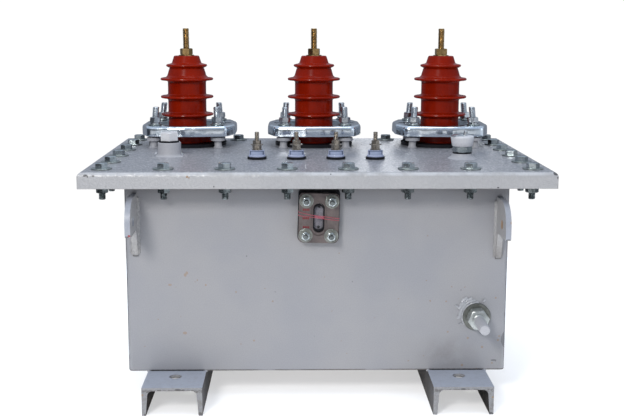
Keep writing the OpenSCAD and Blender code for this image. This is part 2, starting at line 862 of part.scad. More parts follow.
foot(-1);  // foot_left
foot(1);  // foot_right
long_wall(-1);  // front_wall
long_wall(1);  // back_wall
end_wall(-1);  // left_wall
end_wall(1);  // right_wall
tank_floor();
tank_rim();
cover_gasket();
cover();
hv_bushing(-hv_pitch);  // hv_bushing_left
hv_bushing(0);  // hv_bushing_middle
hv_bushing(hv_pitch);  // hv_bushing_right
hv_clamp(-hv_pitch);  // hv_clamp_left
hv_clamp(0);  // hv_clamp_middle
hv_clamp(hv_pitch);  // hv_clamp_right
hv_studs(-hv_pitch);  // hv_studs_left
hv_studs(0);  // hv_studs_middle
hv_studs(hv_pitch);  // hv_studs_right
hv_terminal(-hv_pitch);  // hv_terminal_left
hv_terminal(0);  // hv_terminal_middle
hv_terminal(hv_pitch);  // hv_terminal_right
lv_insulator(0);  // lv_insulator_1
lv_insulator(1);  // lv_insulator_2
lv_insulator(2);  // lv_insulator_3
lv_insulator(3);  // lv_insulator_4
lv_terminal(0);  // lv_terminal_1
lv_terminal(1);  // lv_terminal_2
lv_terminal(2);  // lv_terminal_3
lv_terminal(3);  // lv_terminal_4
top_gaskets();
filler_neck();
filler_plug();
breather_neck();
breather_nut();
breather_cap();
gauge_gasket();
gauge_frame();
gauge_plate();
gauge_glass();
gauge_studs();
lug(-1, -1);  // lug_front_left
lug(1, -1);  // lug_front_right
lug(-1, 1);  // lug_back_left
lug(1, 1);  // lug_back_right
drain_valve();
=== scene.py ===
"""Finished looks of an oil-filled three-phase metering transformer.

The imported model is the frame. Sizes here are in millimetres and become
metres when a mesh is made; the floor is at z = 0, the front faces -Y and the
row of bushings runs along X. Every object sits at the origin with its place
in its mesh, so Object coordinates are the same for all pieces.
"""

import json
import logging
import math
from dataclasses import dataclass, field
from enum import Enum
from typing import Iterable, Optional, Sequence, Union

import bmesh
import bpy
import numpy as np
from mathutils import Matrix, Vector, noise

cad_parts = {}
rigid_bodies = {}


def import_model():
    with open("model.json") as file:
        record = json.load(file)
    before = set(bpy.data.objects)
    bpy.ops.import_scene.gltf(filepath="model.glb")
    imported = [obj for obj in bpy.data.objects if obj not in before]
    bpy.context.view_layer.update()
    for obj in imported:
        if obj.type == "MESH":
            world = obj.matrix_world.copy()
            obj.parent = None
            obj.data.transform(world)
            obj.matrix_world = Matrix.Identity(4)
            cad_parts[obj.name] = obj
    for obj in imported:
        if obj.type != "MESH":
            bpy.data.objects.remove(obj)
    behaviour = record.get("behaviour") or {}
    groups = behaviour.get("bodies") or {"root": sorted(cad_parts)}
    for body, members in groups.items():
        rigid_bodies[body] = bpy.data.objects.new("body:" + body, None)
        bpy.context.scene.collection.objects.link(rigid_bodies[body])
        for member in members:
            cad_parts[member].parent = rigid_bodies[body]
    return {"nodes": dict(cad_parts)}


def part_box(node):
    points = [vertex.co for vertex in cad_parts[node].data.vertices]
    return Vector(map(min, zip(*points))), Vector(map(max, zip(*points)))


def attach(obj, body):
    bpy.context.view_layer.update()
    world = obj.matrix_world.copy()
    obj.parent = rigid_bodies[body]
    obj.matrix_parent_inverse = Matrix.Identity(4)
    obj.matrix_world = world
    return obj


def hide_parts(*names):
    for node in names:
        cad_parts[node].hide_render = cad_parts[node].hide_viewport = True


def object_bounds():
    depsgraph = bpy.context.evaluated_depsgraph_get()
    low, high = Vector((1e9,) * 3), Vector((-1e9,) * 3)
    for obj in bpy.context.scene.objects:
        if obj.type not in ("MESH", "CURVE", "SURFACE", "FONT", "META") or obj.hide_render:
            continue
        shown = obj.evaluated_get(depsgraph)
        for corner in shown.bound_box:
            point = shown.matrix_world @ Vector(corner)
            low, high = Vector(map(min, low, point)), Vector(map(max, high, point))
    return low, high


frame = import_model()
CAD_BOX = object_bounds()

LOG = logging.getLogger("transformer")
MM = 0.001
SEED = 7
CREASE = 35.0
BAKED_CREASE = 40.0
QUARTER = math.radians(90)

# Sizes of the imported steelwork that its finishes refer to.
TANK_HALF_X = 325.0
TANK_FRONT_Y = -200.0
COVER_TOP_Z = 402.0
COVER_HALF_X = 390.0
COVER_HALF_Y = 265.0
COVER_LIP = 27.0
FOOT_X = 241.0
FOOT_HALF = 50.0
FOOT_TOP_Z = 48.0
FOOT_END_Y = -290.0
FOOT_HOLE_Y = 232.0
FOOT_HOLE_RADIUS = 10.0
LUG_X = 307.0

FEET = ("foot_left", "foot_right")
SIDES = ("left", "middle", "right")

BLACK_DIRT = (0.035, 0.032, 0.034)
RUST = (0.31, 0.185, 0.085)
RED_SPOT = (0.28, 0.012, 0.012)

Colour = tuple[float, float, float]
Point = tuple[float, float, float]
Ring = Sequence[Sequence[float]]


class Slot(Enum):
    """Material slots of the record, named for each new piece but not given to it."""

    PAINT = "paint_grey"
    ZINC_BRIGHT = "zinc_bright"
    ZINC_DULL = "zinc_dull"
    BRASS = "brass"
    NICKEL = "nickel"
    RESIN = "white_resin"
    RUBBER = "rubber"
    DARK_METAL = "dark_metal"


# ---------------------------------------------------------------- shaders


class Wire:
    """A shader value whose arithmetic adds Math nodes."""

    def __init__(self, shader: "Shader", socket: bpy.types.NodeSocket) -> None:
        """Wraps one output socket of a shader."""
        self.shader = shader
        self.socket = socket

    def _do(self, operation: str, *values: Union["Wire", float]) -> "Wire":
        """Adds a Math node over the given values."""
        return self.shader.node("ShaderNodeMath", {"operation": operation}, dict(enumerate(values)))

    def __add__(self, other: Union["Wire", float]) -> "Wire":
        """Sum of two values."""
        return self._do("ADD", self, other)

    __radd__ = __add__

    def __sub__(self, other: Union["Wire", float]) -> "Wire":
        """This value less another."""
        return self._do("SUBTRACT", self, other)

    def __rsub__(self, other: float) -> "Wire":
        """A number less this value."""
        return self._do("SUBTRACT", other, self)

    def __mul__(self, other: Union["Wire", float]) -> "Wire":
        """Product of two values."""
        return self._do("MULTIPLY", self, other)

    def __pow__(self, other: float) -> "Wire":
        """This value raised to a power."""
        return self._do("POWER", self, other)

    def top(self, other: Union["Wire", float]) -> "Wire":
        """The larger of two values."""
        return self._do("MAXIMUM", self, other)

    def abs(self) -> "Wire":
        """The value without its sign."""
        return self._do("ABSOLUTE", self)

    def ease(self, low: float, high: float) -> "Wire":
        """Smooth mask that is 0 at low and 1 at high.

        Args:
            low: Value where the mask is 0.
            high: Value where the mask is 1; it may be below low.

        Returns:
            The mask.
        """
        rises = low < high
        ends = {1: min(low, high), 2: max(low, high), 3: float(not rises), 4: float(rises)}
        settings = {"interpolation_type": "SMOOTHSTEP"}
        return self.shader.node("ShaderNodeMapRange", settings, {0: self, **ends})


class Shader:
    """Builds one node tree from plain expressions."""

    def __init__(self, tree: bpy.types.NodeTree) -> None:
        """Empties a node tree and takes it over.

        Args:
            tree: The tree of a material or a world.
        """
        self.tree = tree
        self.tree.nodes.clear()
        self._where: Optional[Wire] = None
        self._axes: Optional[tuple[Wire, Wire, Wire]] = None
        self._facing: Optional[tuple[Wire, Wire, Wire]] = None

    def node(
        self, kind: str, settings: Optional[dict] = None, sockets: Optional[dict] = None,
        out: Union[int, str] = 0,
    ) -> Wire:
        """Adds a node.

        Args:
            kind: The node's type.
            settings: Its properties, set first.
            sockets: Values or wires of its inputs, by index or name.
            out: The output to return, by index or name.

        Returns:
            The chosen output as a wire.
        """
        made = self.tree.nodes.new(kind)
        for key, value in (settings or {}).items():
            setattr(made, key, value)
        for key, value in (sockets or {}).items():
            self.feed(made.inputs[key], value)
        return Wire(self, made.outputs[out] if made.outputs else None)

    def feed(self, socket: bpy.types.NodeSocket, value: Union[Wire, float, Colour]) -> None:
        """Links or sets one input.

        Args:
            socket: The input.
            value: A wire, a number, or a colour or vector.
        """
        if isinstance(value, Wire):
            self.tree.links.new(value.socket, socket)
        elif isinstance(value, (int, float)):
            socket.default_value = value
        elif socket.type == "RGBA" and len(value) == 3:
            socket.default_value = (*value, 1.0)
        else:
            socket.default_value = value

    @property
    def where(self) -> Wire:
        """Object coordinates, in metres."""
        if self._where is None:
            self._where = self.node("ShaderNodeTexCoord", out="Object")
        return self._where

    @property
    def axes(self) -> tuple[Wire, Wire, Wire]:
        """The three Object coordinates one by one, in millimetres."""
        if self._axes is None:
            self._axes = self.split(self.vector("SCALE", self.where, scale=1 / MM))
        return self._axes

    @property
    def facing(self) -> tuple[Wire, Wire, Wire]:
        """The three parts of the surface's normal."""
        if self._facing is None:
            self._facing = self.split(self.node("ShaderNodeNewGeometry", out="Normal"))
        return self._facing

    def split(self, value: Wire) -> tuple[Wire, Wire, Wire]:
        """The three parts of a vector."""
        x, y, z = (self.node("ShaderNodeSeparateXYZ", None, {0: value}, out=i) for i in range(3))
        return x, y, z

    def vector(
        self, operation: str, *values: Union[Wire, Point], scale: Optional[float] = None,
        out: int = 0,
    ) -> Wire:
        """Adds a Vector Math node.

        Args:
            operation: What the node does.
            *values: Its vectors.
            scale: Its factor, where it has one.
            out: The output to return.

        Returns:
            The result.
        """
        sockets: dict = dict(enumerate(values))
        if scale is not None:
            sockets["Scale"] = scale
        return self.node("ShaderNodeVectorMath", {"operation": operation}, sockets, out)

    def mapped(self, stretch: Point, turn: Point = (0, 0, 0)) -> Wire:
        """Object coordinates stretched and turned."""
        return self.node("ShaderNodeMapping", None, {0: self.where, 2: turn, 3: stretch})

    def noise(
        self, size: float, detail: float = 2.0, rough: float = 0.5, at: Optional[Wire] = None
    ) -> Wire:
        """Cloudy noise from 0 to 1.

        Args:
            size: Size of one cloud in millimetres.
            detail: Number of finer layers.
            rough: Strength of the finer layers.
            at: Coordinates, or Object coordinates if left out.

        Returns:
            The noise value.
        """
        sockets = {
            "Vector": at or self.where, "Scale": 1 / (size * MM), "Detail": detail,
            "Roughness": rough,
        }
        return self.node("ShaderNodeTexNoise", None, sockets)

    def cells(self, size: float, at: Wire) -> Wire:
        """Distance to the nearest of scattered points, in cells."""
        return self.node("ShaderNodeTexVoronoi", None, {"Vector": at, "Scale": 1 / (size * MM)})

    def mix(
        self, factor: Union[Wire, float], low: Union[Wire, Colour], high: Union[Wire, Colour]
    ) -> Wire:
        """Blends two colours."""
        return self.node(
            "ShaderNodeMix", {"data_type": "RGBA"}, {0: factor, 6: low, 7: high}, out=2
        )

    def spot(self, centre: Point, radius: float, soft: float, flat: Point = (1, 1, 1)) -> Wire:
        """Round mask about a point.

        Args:
            centre: Middle of the spot in millimetres.
            radius: Radius at half strength in millimetres.
            soft: Width of the edge in millimetres.
            flat: Weights of the three axes; 0 ignores an axis.

        Returns:
            A mask, 1 inside the spot.
        """
        offset = self.vector("SUBTRACT", self.where, tuple(c * MM for c in centre))
        weighed = self.vector("MULTIPLY", offset, flat)
        distance = self.vector("LENGTH", weighed, out=1) * (1 / MM)
        return distance.ease(radius + soft / 2, radius - soft / 2)

    def bump(
        self, height: Wire, depth: float, strength: float = 1.0, after: Optional[Wire] = None
    ) -> Wire:
        """Turns a height into a normal.

        Args:
            height: Height from 0 to 1.
            depth: Depth of the relief in millimetres.
            strength: Share of the relief that shows.
            after: Normal of a coarser relief under this one.

        Returns:
            The normal.
        """
        sockets = {"Height": height, "Distance": depth * MM, "Strength": strength}
        if after is not None:
            sockets["Normal"] = after
        return self.node("ShaderNodeBump", None, sockets)

    def surface(self, **sockets: Union[Wire, float, Colour]) -> None:
        """Ends the tree in a Principled shader.

        Args:
            **sockets: Values or wires of its inputs, with _ for each space.
        """
        named = {key.replace("_", " "): value for key, value in sockets.items()}
        shader = self.node("ShaderNodeBsdfPrincipled", None, named)
        self.node("ShaderNodeOutputMaterial", None, {0: shader})


def new_shader(name: str) -> tuple[bpy.types.Material, Shader]:
    """Makes an empty material.

    Args:
        name: The material's name.

    Returns:
        The material and the builder of its shader.
    """
    material = bpy.data.materials.new(name)
    material.use_nodes = True
    return material, Shader(material.node_tree)


# ---------------------------------------------------------------- finishes


@dataclass(frozen=True)
class Mark:
    """A small spot of damage or dirt, in millimetres."""

    place: Point
    size: float
    flat: Point = (1.0, 0.0, 1.0)


def marks_at(y: float, *rows: Sequence) -> tuple[Mark, ...]:
    """Marks on a face square to Y, from rows of x, z, size and perhaps the three weights."""
    return tuple(Mark((x, y, z), *rest) for x, z, *rest in rows)


@dataclass(frozen=True)
class Paint:
    """Grey enamel sprayed on steel, with grain, dirt, chips and some painted shade and light."""

    name: str
    colour: Colour
    shade: Colour
    roughness: float = 0.42
    peel_size: float = 2.6
    peel_depth: float = 0.10
    grain: float = 0.035
    rust_marks: tuple[Mark, ...] = ()
    dark_marks: tuple[Mark, ...] = ()
    red_marks: tuple[Mark, ...] = ()
    low_dirt: float = 0.0
    speckle: float = 0.0
    top_height: float = 0.0
    top_shade: float = 1.0
    edge_marks: bool = False
    # Strength of the painted shade in the dips of the orange peel.
    peel_shade: float = 0.08
    mark_strength: float = 0.85
    channel: bool = False
    gloss: float = 0.5
    # Height where painted shade under the cover's lip begins; 0 for none.
    lip_shade_from: float = 0.0
    stains_and_shade: tuple[Mark, ...] = ()

    def build(self) -> bpy.types.Material:
        """Makes the material.

        Returns:
            The material.
        """
        material, s = new_shader(self.name)
        cloud = s.noise(140, 3, 0.55)
        fine = s.noise(1.1, 2, 0.6)
        colour = s.mix(cloud.ease(0.36, 0.68), self.colour, self.shade)
        grain = (fine - 0.5) * (2 * self.grain)
        flecks = s.mix(fine.ease(0.49, 0.51), (0.10, 0.10, 0.12), (0.75, 0.76, 0.8))
        colour = s.mix(grain.abs(), colour, flecks)
        peel = s.noise(self.peel_size, 1.5, 0.45)
        # Painted shade: the dips of the orange peel, which the same noise raises as bumps, turn
        # darker.
        colour = s.mix(peel.ease(0.62, 0.36) * self.peel_shade, colour, (0.13, 0.135, 0.15))
        if self.top_height:
            colour = self._folded(s, colour)
        rough = self.roughness + (s.noise(30, 2) - 0.5) * 0.12
        # A channel foot gets painted shade on its flanks and underside, which are also rougher, and
        # painted sky light on its top.
        if self.channel:
            flank = self._flank(s)
            rough = rough + flank * 0.5
            colour = self._channel(s, colour, flank)
        # Dark patches: a stain on the tank, patches on the cover, and painted shade on the lug
        # tails below the plates.
        for stain in self.stains_and_shade:
            stain_shade_mask = s.spot(stain.place, stain.size, stain.size * 1.7, stain.flat)
            stain_shade_mask = stain_shade_mask * s.noise(24, 3, 0.6).ease(0.25, 0.65)
            colour = s.mix(stain_shade_mask * 0.30, colour, (0.17, 0.15, 0.135))
        if self.edge_marks:
            colour = self._worn_edges(s, colour)
        _, _, z = s.axes
        # Painted shade under the cover's lip: the wall darkens towards its top.
        if self.lip_shade_from:
            grime = z.ease(self.lip_shade_from, self.lip_shade_from + 28) * 0.50
            colour = s.mix(grime, colour, (0.06, 0.052, 0.045))
        if self.speckle:
            colour = self._speckled(s, colour)
        wear = s.noise(2.2, 3, 0.7)
        kinds = ((self.dark_marks, BLACK_DIRT), (self.rust_marks, RUST), (self.red_marks, RED_SPOT))
        for marks, tint in kinds:
            colour = self._marked(s, colour, wear, marks, tint)
        if self.low_dirt:
            dust = z.ease(70, 0) * s.noise(9, 4, 0.7).ease(0.42, 0.72) * self.low_dirt
            colour = s.mix(dust, colour, (0.16, 0.135, 0.115))
        wave = s.noise(26, 1)
        normal = s.bump(peel, self.peel_depth, 1.0, s.bump(wave, 0.16, 0.8))
        s.surface(Base_Color=colour, Roughness=rough, Normal=normal, Specular_IOR_Level=self.gloss)
        return material

    def _folded(self, s: Shader, colour: Wire) -> Wire:
        """Paints shade and glints on the cover's level top and a highlight on its bend; marks its
        lip's lower edge.

        Args:
            s: The shader.
            colour: Colour so far.

        Returns:
            The colour with top, bend and edge.
        """
        x, y, z = s.axes
        top = self.top_height
        level = z.ease(top - 1.2, top - 0.2)
        hammered = s.noise(3.6, 2, 0.55, s.mapped((1.0, 0.5, 1.0)))
        # Painted shade: the level top darkens by top_shade, more and bluer in the dips of the
        # hammered pattern.
        top_and_hollow_shade = hammered.ease(0.60, 0.40) * 0.22 + (1.0 - self.top_shade)
        colour = s.mix(level * top_and_hollow_shade, colour, (0.035, 0.055, 0.115))
        # Painted glints on the raised spots of the hammered top.
        colour = s.mix(level * hammered.ease(0.60, 0.70) * 0.24, colour, (0.78, 0.80, 0.86))
        wavy = s.noise(38, 2, 0.6)
        # Painted highlight along the bend of the lip.
        bend = (z + (wavy - 0.5) * 2.6).ease(top - 6.0, top - 4.0) * z.ease(top - 0.1, top - 1.6)
        colour = s.mix(bend * wavy.ease(0.34, 0.56) * 0.30, colour, (0.80, 0.82, 0.87))
        hem = (z + s.noise(7, 2) * 1.2).ease(top - COVER_LIP + 1.4, top - COVER_LIP + 0.6)
        corner = x.abs().ease(COVER_HALF_X - 1.8, COVER_HALF_X - 0.6) * wavy.ease(0.40, 0.52)
        corner = corner * y.abs().ease(COVER_HALF_Y - 10.0, COVER_HALF_Y - 4.0)
        return s.mix(hem.top(corner) * 0.62, colour, (0.13, 0.115, 0.105))

    @staticmethod
    def _flank(s: Shader) -> Wire:
        """Masks a channel foot's upright flanks and its underside, where shade is painted.

        Args:
            s: The shader.

        Returns:
            The mask.
        """
        nx, _, nz = s.facing
        return nx.abs().ease(0.45, 0.75).top((nz * -1.0).ease(0.2, 0.6))

    @staticmethod
    def _channel(s: Shader, colour: Wire, flank: Wire) -> Wire:
        """Adds painted shade to the flanks, painted sky light to the top, and the bolt holes of a
        channel foot.

        Args:
            s: The shader.
            colour: Colour so far.
            flank: Mask of the flanks.

        Returns:
            The colour with the foot's shades.
        """
        _, _, nz = s.facing
        x, y, z = s.axes
        dx, dy = x.abs() - FOOT_X, y.abs() - FOOT_HOLE_Y
        reach = (dx * dx + dy * dy) ** 0.5
        inner = dx.abs().ease(FOOT_HALF - 3.0, FOOT_HALF - 5.0)
        under = y.abs().ease(FOOT_HOLE_Y + 40.0, FOOT_HOLE_Y - 20.0)
        shade_noise = s.noise(4.5, 3, 0.7).ease(0.60, 0.75) * 0.06
        depth = (under * 0.16).top(inner * 0.36) + 0.58 - shade_noise
        hole = FOOT_HOLE_RADIUS
        # Painted shade on the flanks and underside, deepest inside the channel and under the tank.
        dark = flank * depth * reach.ease(hole + 1.0, hole + 2.5)
        colour = s.mix(dark, colour, (0.012, 0.011, 0.012))
        # Painted sky light: faces that look up turn lighter and bluer.
        colour = s.mix(nz.ease(0.6, 0.9) * 0.75, colour, (0.47, 0.505, 0.59))
        rough = s.noise(3.2, 3, 0.7)
        lower = (z - rough * 4.0).ease(FOOT_TOP_Z - 5.0, FOOT_TOP_Z - 6.6)
        lower = lower * z.ease(FOOT_TOP_Z - 9.5, FOOT_TOP_Z - 7.5)
        colour = s.mix(lower * rough.ease(0.42, 0.55) * 0.55, colour, (0.07, 0.06, 0.055))
        # Painted shade on the walls of the bolt holes.
        wall = reach.ease(hole + 0.9, hole + 0.4) * z.ease(FOOT_TOP_Z - 3.1, FOOT_TOP_Z - 4.1)
        ring = reach.ease(hole + 1.4, hole + 0.8) * reach.ease(hole - 0.4, hole)
        ring = ring * z.ease(FOOT_TOP_Z - 0.8, FOOT_TOP_Z - 0.3) * rough.ease(0.30, 0.5)
        return s.mix((wall * 0.25).top(ring * 0.4), colour, (0.045, 0.038, 0.034))

    @staticmethod
    def _worn_edges(s: Shader, colour: Wire) -> Wire:
        """Darkens the tank's lower edge and its upright corners.

        Args:
            s: The shader.
            colour: Colour so far.

        Returns:
            The colour with worn edges.
        """
        x, y, z = s.axes
        fray = s.noise(5, 3, 0.7)
        low = (z + fray * 2.4).ease(FOOT_TOP_Z + 4.0, FOOT_TOP_Z + 2.2)
        low = low * s.noise(60, 2).ease(0.22, 0.50)
        near = y.abs().ease(-TANK_FRONT_Y - 17.0, -TANK_FRONT_Y - 10.0)
        side = (x.abs() + fray * 1.8).ease(TANK_HALF_X - 2.1, TANK_HALF_X - 0.4)
        side = side * near * s.noise(34, 3, 0.6).ease(0.28, 0.50)
        colour = s.mix(low * 0.85, colour, (0.075, 0.062, 0.055))
        return s.mix(side * 0.86, colour, (0.075, 0.072, 0.078))

    def _speckled(self, s: Shader, colour: Wire) -> Wire:
        """Scatters small rust and dirt specks.

        Args:
            s: The shader.
            colour: Colour so far.

        Returns:
            The colour with specks.
        """
        swirl = s.node("ShaderNodeTexNoise", None, {"Vector": s.where, "Scale": 240.0}, out=1)
        warped = s.vector("ADD", s.where, s.vector("SCALE", swirl, scale=6.0 * MM))
        kinds = (
            (34, 0.075, s.noise(60, 1).ease(0.56, 0.66) * 0.45, (0.14, 0.13, 0.13)),
            (21, 0.080, s.noise(75, 1).ease(0.42, 0.54) * 0.60, (0.27, 0.17, 0.09)),
        )
        for size, reach, chosen, tint in kinds:
            dots = s.cells(size, warped).ease(reach, reach - 0.045) * self.speckle
            colour = s.mix(dots * chosen, colour, tint)
        return colour

    def _marked(
        self, s: Shader, colour: Wire, wear: Wire, marks: Iterable[Mark], tint: Colour
    ) -> Wire:
        """Lays one kind of mark over a colour.

        Args:
            s: The shader.
            colour: Colour so far.
            wear: Noise that frays the marks' edges.
            marks: The marks.
            tint: Their colour.

        Returns:
            The colour with marks.
        """
        mask: Optional[Wire] = None
        for mark in marks:
            spot = s.spot(mark.place, mark.size, mark.size * 0.9, mark.flat)
            mask = spot if mask is None else mask.top(spot)
        if mask is None:
            return colour
        return s.mix((mask * 1.5 + wear - 1.0).ease(0.02, 0.45) * self.mark_strength, colour, tint)


@dataclass(frozen=True)
class Resin:
    """Cast epoxy, glossy, with mould streaks and dust."""

    name: str
    colour: Colour
    shade: Colour
    dust: Colour
    roughness: float = 0.3

    def build(self) -> bpy.types.Material:
        """Makes the material.

        Returns:
            The material.
        """
        material, s = new_shader(self.name)
        cloud = s.noise(28, 3, 0.6)
        colour = s.mix(cloud.ease(0.34, 0.70), self.colour, self.shade)
        specks = s.noise(1.7, 2, 0.6).ease(0.66, 0.74) * s.noise(15, 2).ease(0.50, 0.66)
        colour = s.mix(specks * 0.35, colour, self.dust)
        rough = self.roughness + (s.noise(7, 3, 0.6) - 0.5) * 0.20 + specks * 0.25
        grainy = s.noise(1.5, 2, 0.5)
        wave = s.noise(14, 1)
        normal = s.bump(grainy, 0.030, 1.0, s.bump(wave, 0.30, 0.8))
        s.surface(
            Base_Color=colour, Roughness=rough, Normal=normal, Coat_Weight=0.08,
            Coat_Roughness=0.07, Specular_IOR_Level=0.07,
        )
        return material


@dataclass(frozen=True)
class Metal:
    """Bare or plated metal with stains and a brushed or blotchy sheen."""

    name: str
    colour: Colour
    stain: Colour
    grime: Colour
    roughness: float = 0.3
    blotch: float = 9.0
    grime_amount: float = 0.35
    dent: float = 0.05
    metallic: float = 1.0
    ripple: float = 1.0

    def build(self) -> bpy.types.Material:
        """Makes the material.

        Returns:
            The material.
        """
        material, s = new_shader(self.name)
        cloud = s.noise(self.blotch, 3, 0.6)
        colour = s.mix(cloud.ease(0.35, 0.68), self.colour, self.stain)
        dirt = s.noise(3.2, 4, 0.7).ease(0.50, 0.74) * self.grime_amount
        colour = s.mix(dirt, colour, self.grime)
        rough = self.roughness + (cloud - 0.5) * 0.22 + dirt * 0.35
        metallic = self.metallic - dirt * 0.6
        fine = s.noise(0.9, 2, 0.6)
        wave = s.noise(self.blotch * 1.4, 1.5, 0.5, s.mapped((1.0, 1.0, self.ripple)))
        normal = s.bump(fine, 0.006, 1.0, s.bump(wave, self.dent, 1.0))
        s.surface(Base_Color=colour, Metallic=metallic, Roughness=rough, Normal=normal)
        return material


@dataclass(frozen=True)
class Rubber:
    """Black moulded rubber with dust."""

    name: str
    colour: Colour
    dust: Colour

    def build(self) -> bpy.types.Material:
        """Makes the material.

        Returns:
            The material.
        """
        material, s = new_shader(self.name)
        dust = s.noise(6, 4, 0.7).ease(0.50, 0.85) * 0.35
        colour = s.mix(dust, self.colour, self.dust)
        normal = s.bump(s.noise(1.2, 2), 0.04)
        s.surface(
            Base_Color=colour, Roughness=0.55 + dust * 0.3, Normal=normal, Specular_IOR_Level=0.2
        )
        return material


@dataclass(frozen=True)
class Glass:
    """Clear sight glass with a faint film of oil."""

    name: str

    def build(self) -> bpy.types.Material:
        """Makes the material.

        Returns:
            The material.
        """
        material, s = new_shader(self.name)
        film = s.noise(6, 3, 0.6)
        alpha = 0.05 + film.ease(0.5, 0.8) * 0.04
        tint = s.mix(film, (0.30, 0.31, 0.33), (0.22, 0.23, 0.25))
        rough = 0.16 + film * 0.06
        s.surface(Base_Color=tint, Roughness=rough, Alpha=alpha, IOR=1.45, Specular_IOR_Level=0.10)
        return material


@dataclass(frozen=True)
class Twist:
    """Dyed thread, twisted, with its fibres along its length."""

    name: str
    colour: Colour
    shade: Colour

    def build(self) -> bpy.types.Material:
        """Makes the material.

        Returns:
            The material.
        """
        material, s = new_shader(self.name)
        strand = s.noise(0.8, 2, 0.6, s.mapped((1, 1, 3), (0, 0.5, 0)))
        colour = s.mix(strand.ease(0.35, 0.65), self.colour, self.shade)
        s.surface(
            Base_Color=colour, Roughness=0.7 + strand * 0.15, Normal=s.bump(strand, 0.15),
            Sheen_Weight=0.2,
        )
        return material


TANK_MARKS_DARK = (
    Mark((TANK_HALF_X, -196, 102), 8.0, (1.0, 0.7, 0.55)),
    Mark((TANK_HALF_X, -196, 146), 3.4, (1.0, 0.7, 0.6)),
    Mark((TANK_HALF_X, -199, 105), 3.6, (1.0, 0.0, 0.55)),
    *marks_at(
        TANK_FRONT_Y,
        (305.6, 65, 2.2, (0.45, 0.0, 1.4)),
        (309, 64, 1.4),
        (-120, 250, 1.2),
        (60, 205, 1.0),
        (246, 190, 1.1),
    ),
)
TANK_MARKS_RUST = marks_at(
    TANK_FRONT_Y,
    (-224.6, 217.4, 2.4, (1.0, 0.0, 0.8)),
    (-221.8, 220.9, 2.2, (1.0, 0.0, 0.8)),
    (-190.0, 199.8, 1.7),
    (-250.7, 200.2, 1.9, (0.6, 0.0, 1.0)),
    (-138.6, 187.4, 1.5),
    (259.9, 104.8, 2.0),
    (285.0, 88.6, 2.1),
    (312.3, 101.0, 2.0),
    (251.1, 56.3, 2.3),
    (-226.8, 115.3, 2.5, (0.7, 0.0, 1.0)),
    (-108.6, 101.4, 1.8),
    (303, 60, 1.6),
    (314, 108, 1.6),
    (225, 116, 1.7),
    (221, 170, 1.6),
    (306, 176, 1.7),
)

TANK_PAINT = Paint(
    "tank_enamel", (0.308, 0.309, 0.330), (0.336, 0.331, 0.342), peel_size=2.0, peel_depth=0.11,
    edge_marks=True, speckle=1.0, mark_strength=0.5, lip_shade_from=350.0,
    rust_marks=TANK_MARKS_RUST, dark_marks=TANK_MARKS_DARK,
    stains_and_shade=(Mark((225, TANK_FRONT_Y, 78), 24.0, (0.7, 0, 1)),),
)
COVER_PAINT = Paint(
    "cover_enamel", (0.420, 0.416, 0.425), (0.446, 0.440, 0.446), roughness=0.24, peel_size=3.6,
    peel_depth=1.0, top_height=COVER_TOP_Z, top_shade=0.87, peel_shade=0.05,
    stains_and_shade=(
        Mark((-150, 40, COVER_TOP_Z), 26.0, (1, 0.4, 1)),
        Mark((-330, 60, COVER_TOP_Z), 24.0, (1, 0.5, 1)),
        Mark((95, 60, COVER_TOP_Z), 26.0, (1, 0.4, 1)),
    ),
    rust_marks=(Mark((-212, -264, 395), 1.8, (1, 0, 1)), Mark((-209, -264, 393.5), 1.1, (1, 0, 1))),
    dark_marks=(
        Mark((-376, -264, 397), 2.3, (0.6, 0, 1.3)),
        Mark((-372, -264, 395.5), 1.5, (1, 0, 1)),
        Mark((-363, -264, 396.5), 1.5, (0.7, 0, 1.2)),
        Mark((386, -262, 399.5), 2.6, (0.6, 0, 1.0)),
        Mark((389, -264, 393), 1.7, (1, 0, 1)),
        Mark((292, -264, 377), 1.3, (0.7, 0, 1.2)),
        Mark((-169, -264, 379), 1.0, (1.4, 0, 0.6)),
        Mark((20, -262, 399), 1.0, (1, 0, 1)),
    ),
)
# The feet take painted shade on their flanks and underside and painted sky light on their tops.
FOOT_PAINT = Paint(
    "foot_enamel", (0.285, 0.285, 0.292), (0.315, 0.31, 0.315), roughness=0.48, peel_size=2.4,
    peel_depth=0.20, low_dirt=0.6, speckle=0.6, peel_shade=0.22, channel=True, gloss=0.06,
    mark_strength=0.6,
    rust_marks=marks_at(FOOT_END_Y, (-289.5, 36, 1.8, (1, 0.6, 1)), (289, 30, 1.8, (1, 0.6, 1))),
    dark_marks=marks_at(
        FOOT_END_Y,
        (-231, 44.5, 2.6, (0.5, 0.4, 1.3)),
        (-222, 44.0, 1.8, (0.6, 0.4, 1.3)),
        (-262, 43.5, 1.5, (0.4, 0.4, 1.4)),
        (-196, 1.5, 4.5, (0.8, 0.5, 1.0)),
        (-284, 1.0, 3.0, (0.8, 0.5, 1.0)),
        (240, 44.0, 2.2, (0.5, 0.4, 1.3)),
        (286, 1.0, 3.6, (0.8, 0.5, 1.0)),
    ),
)
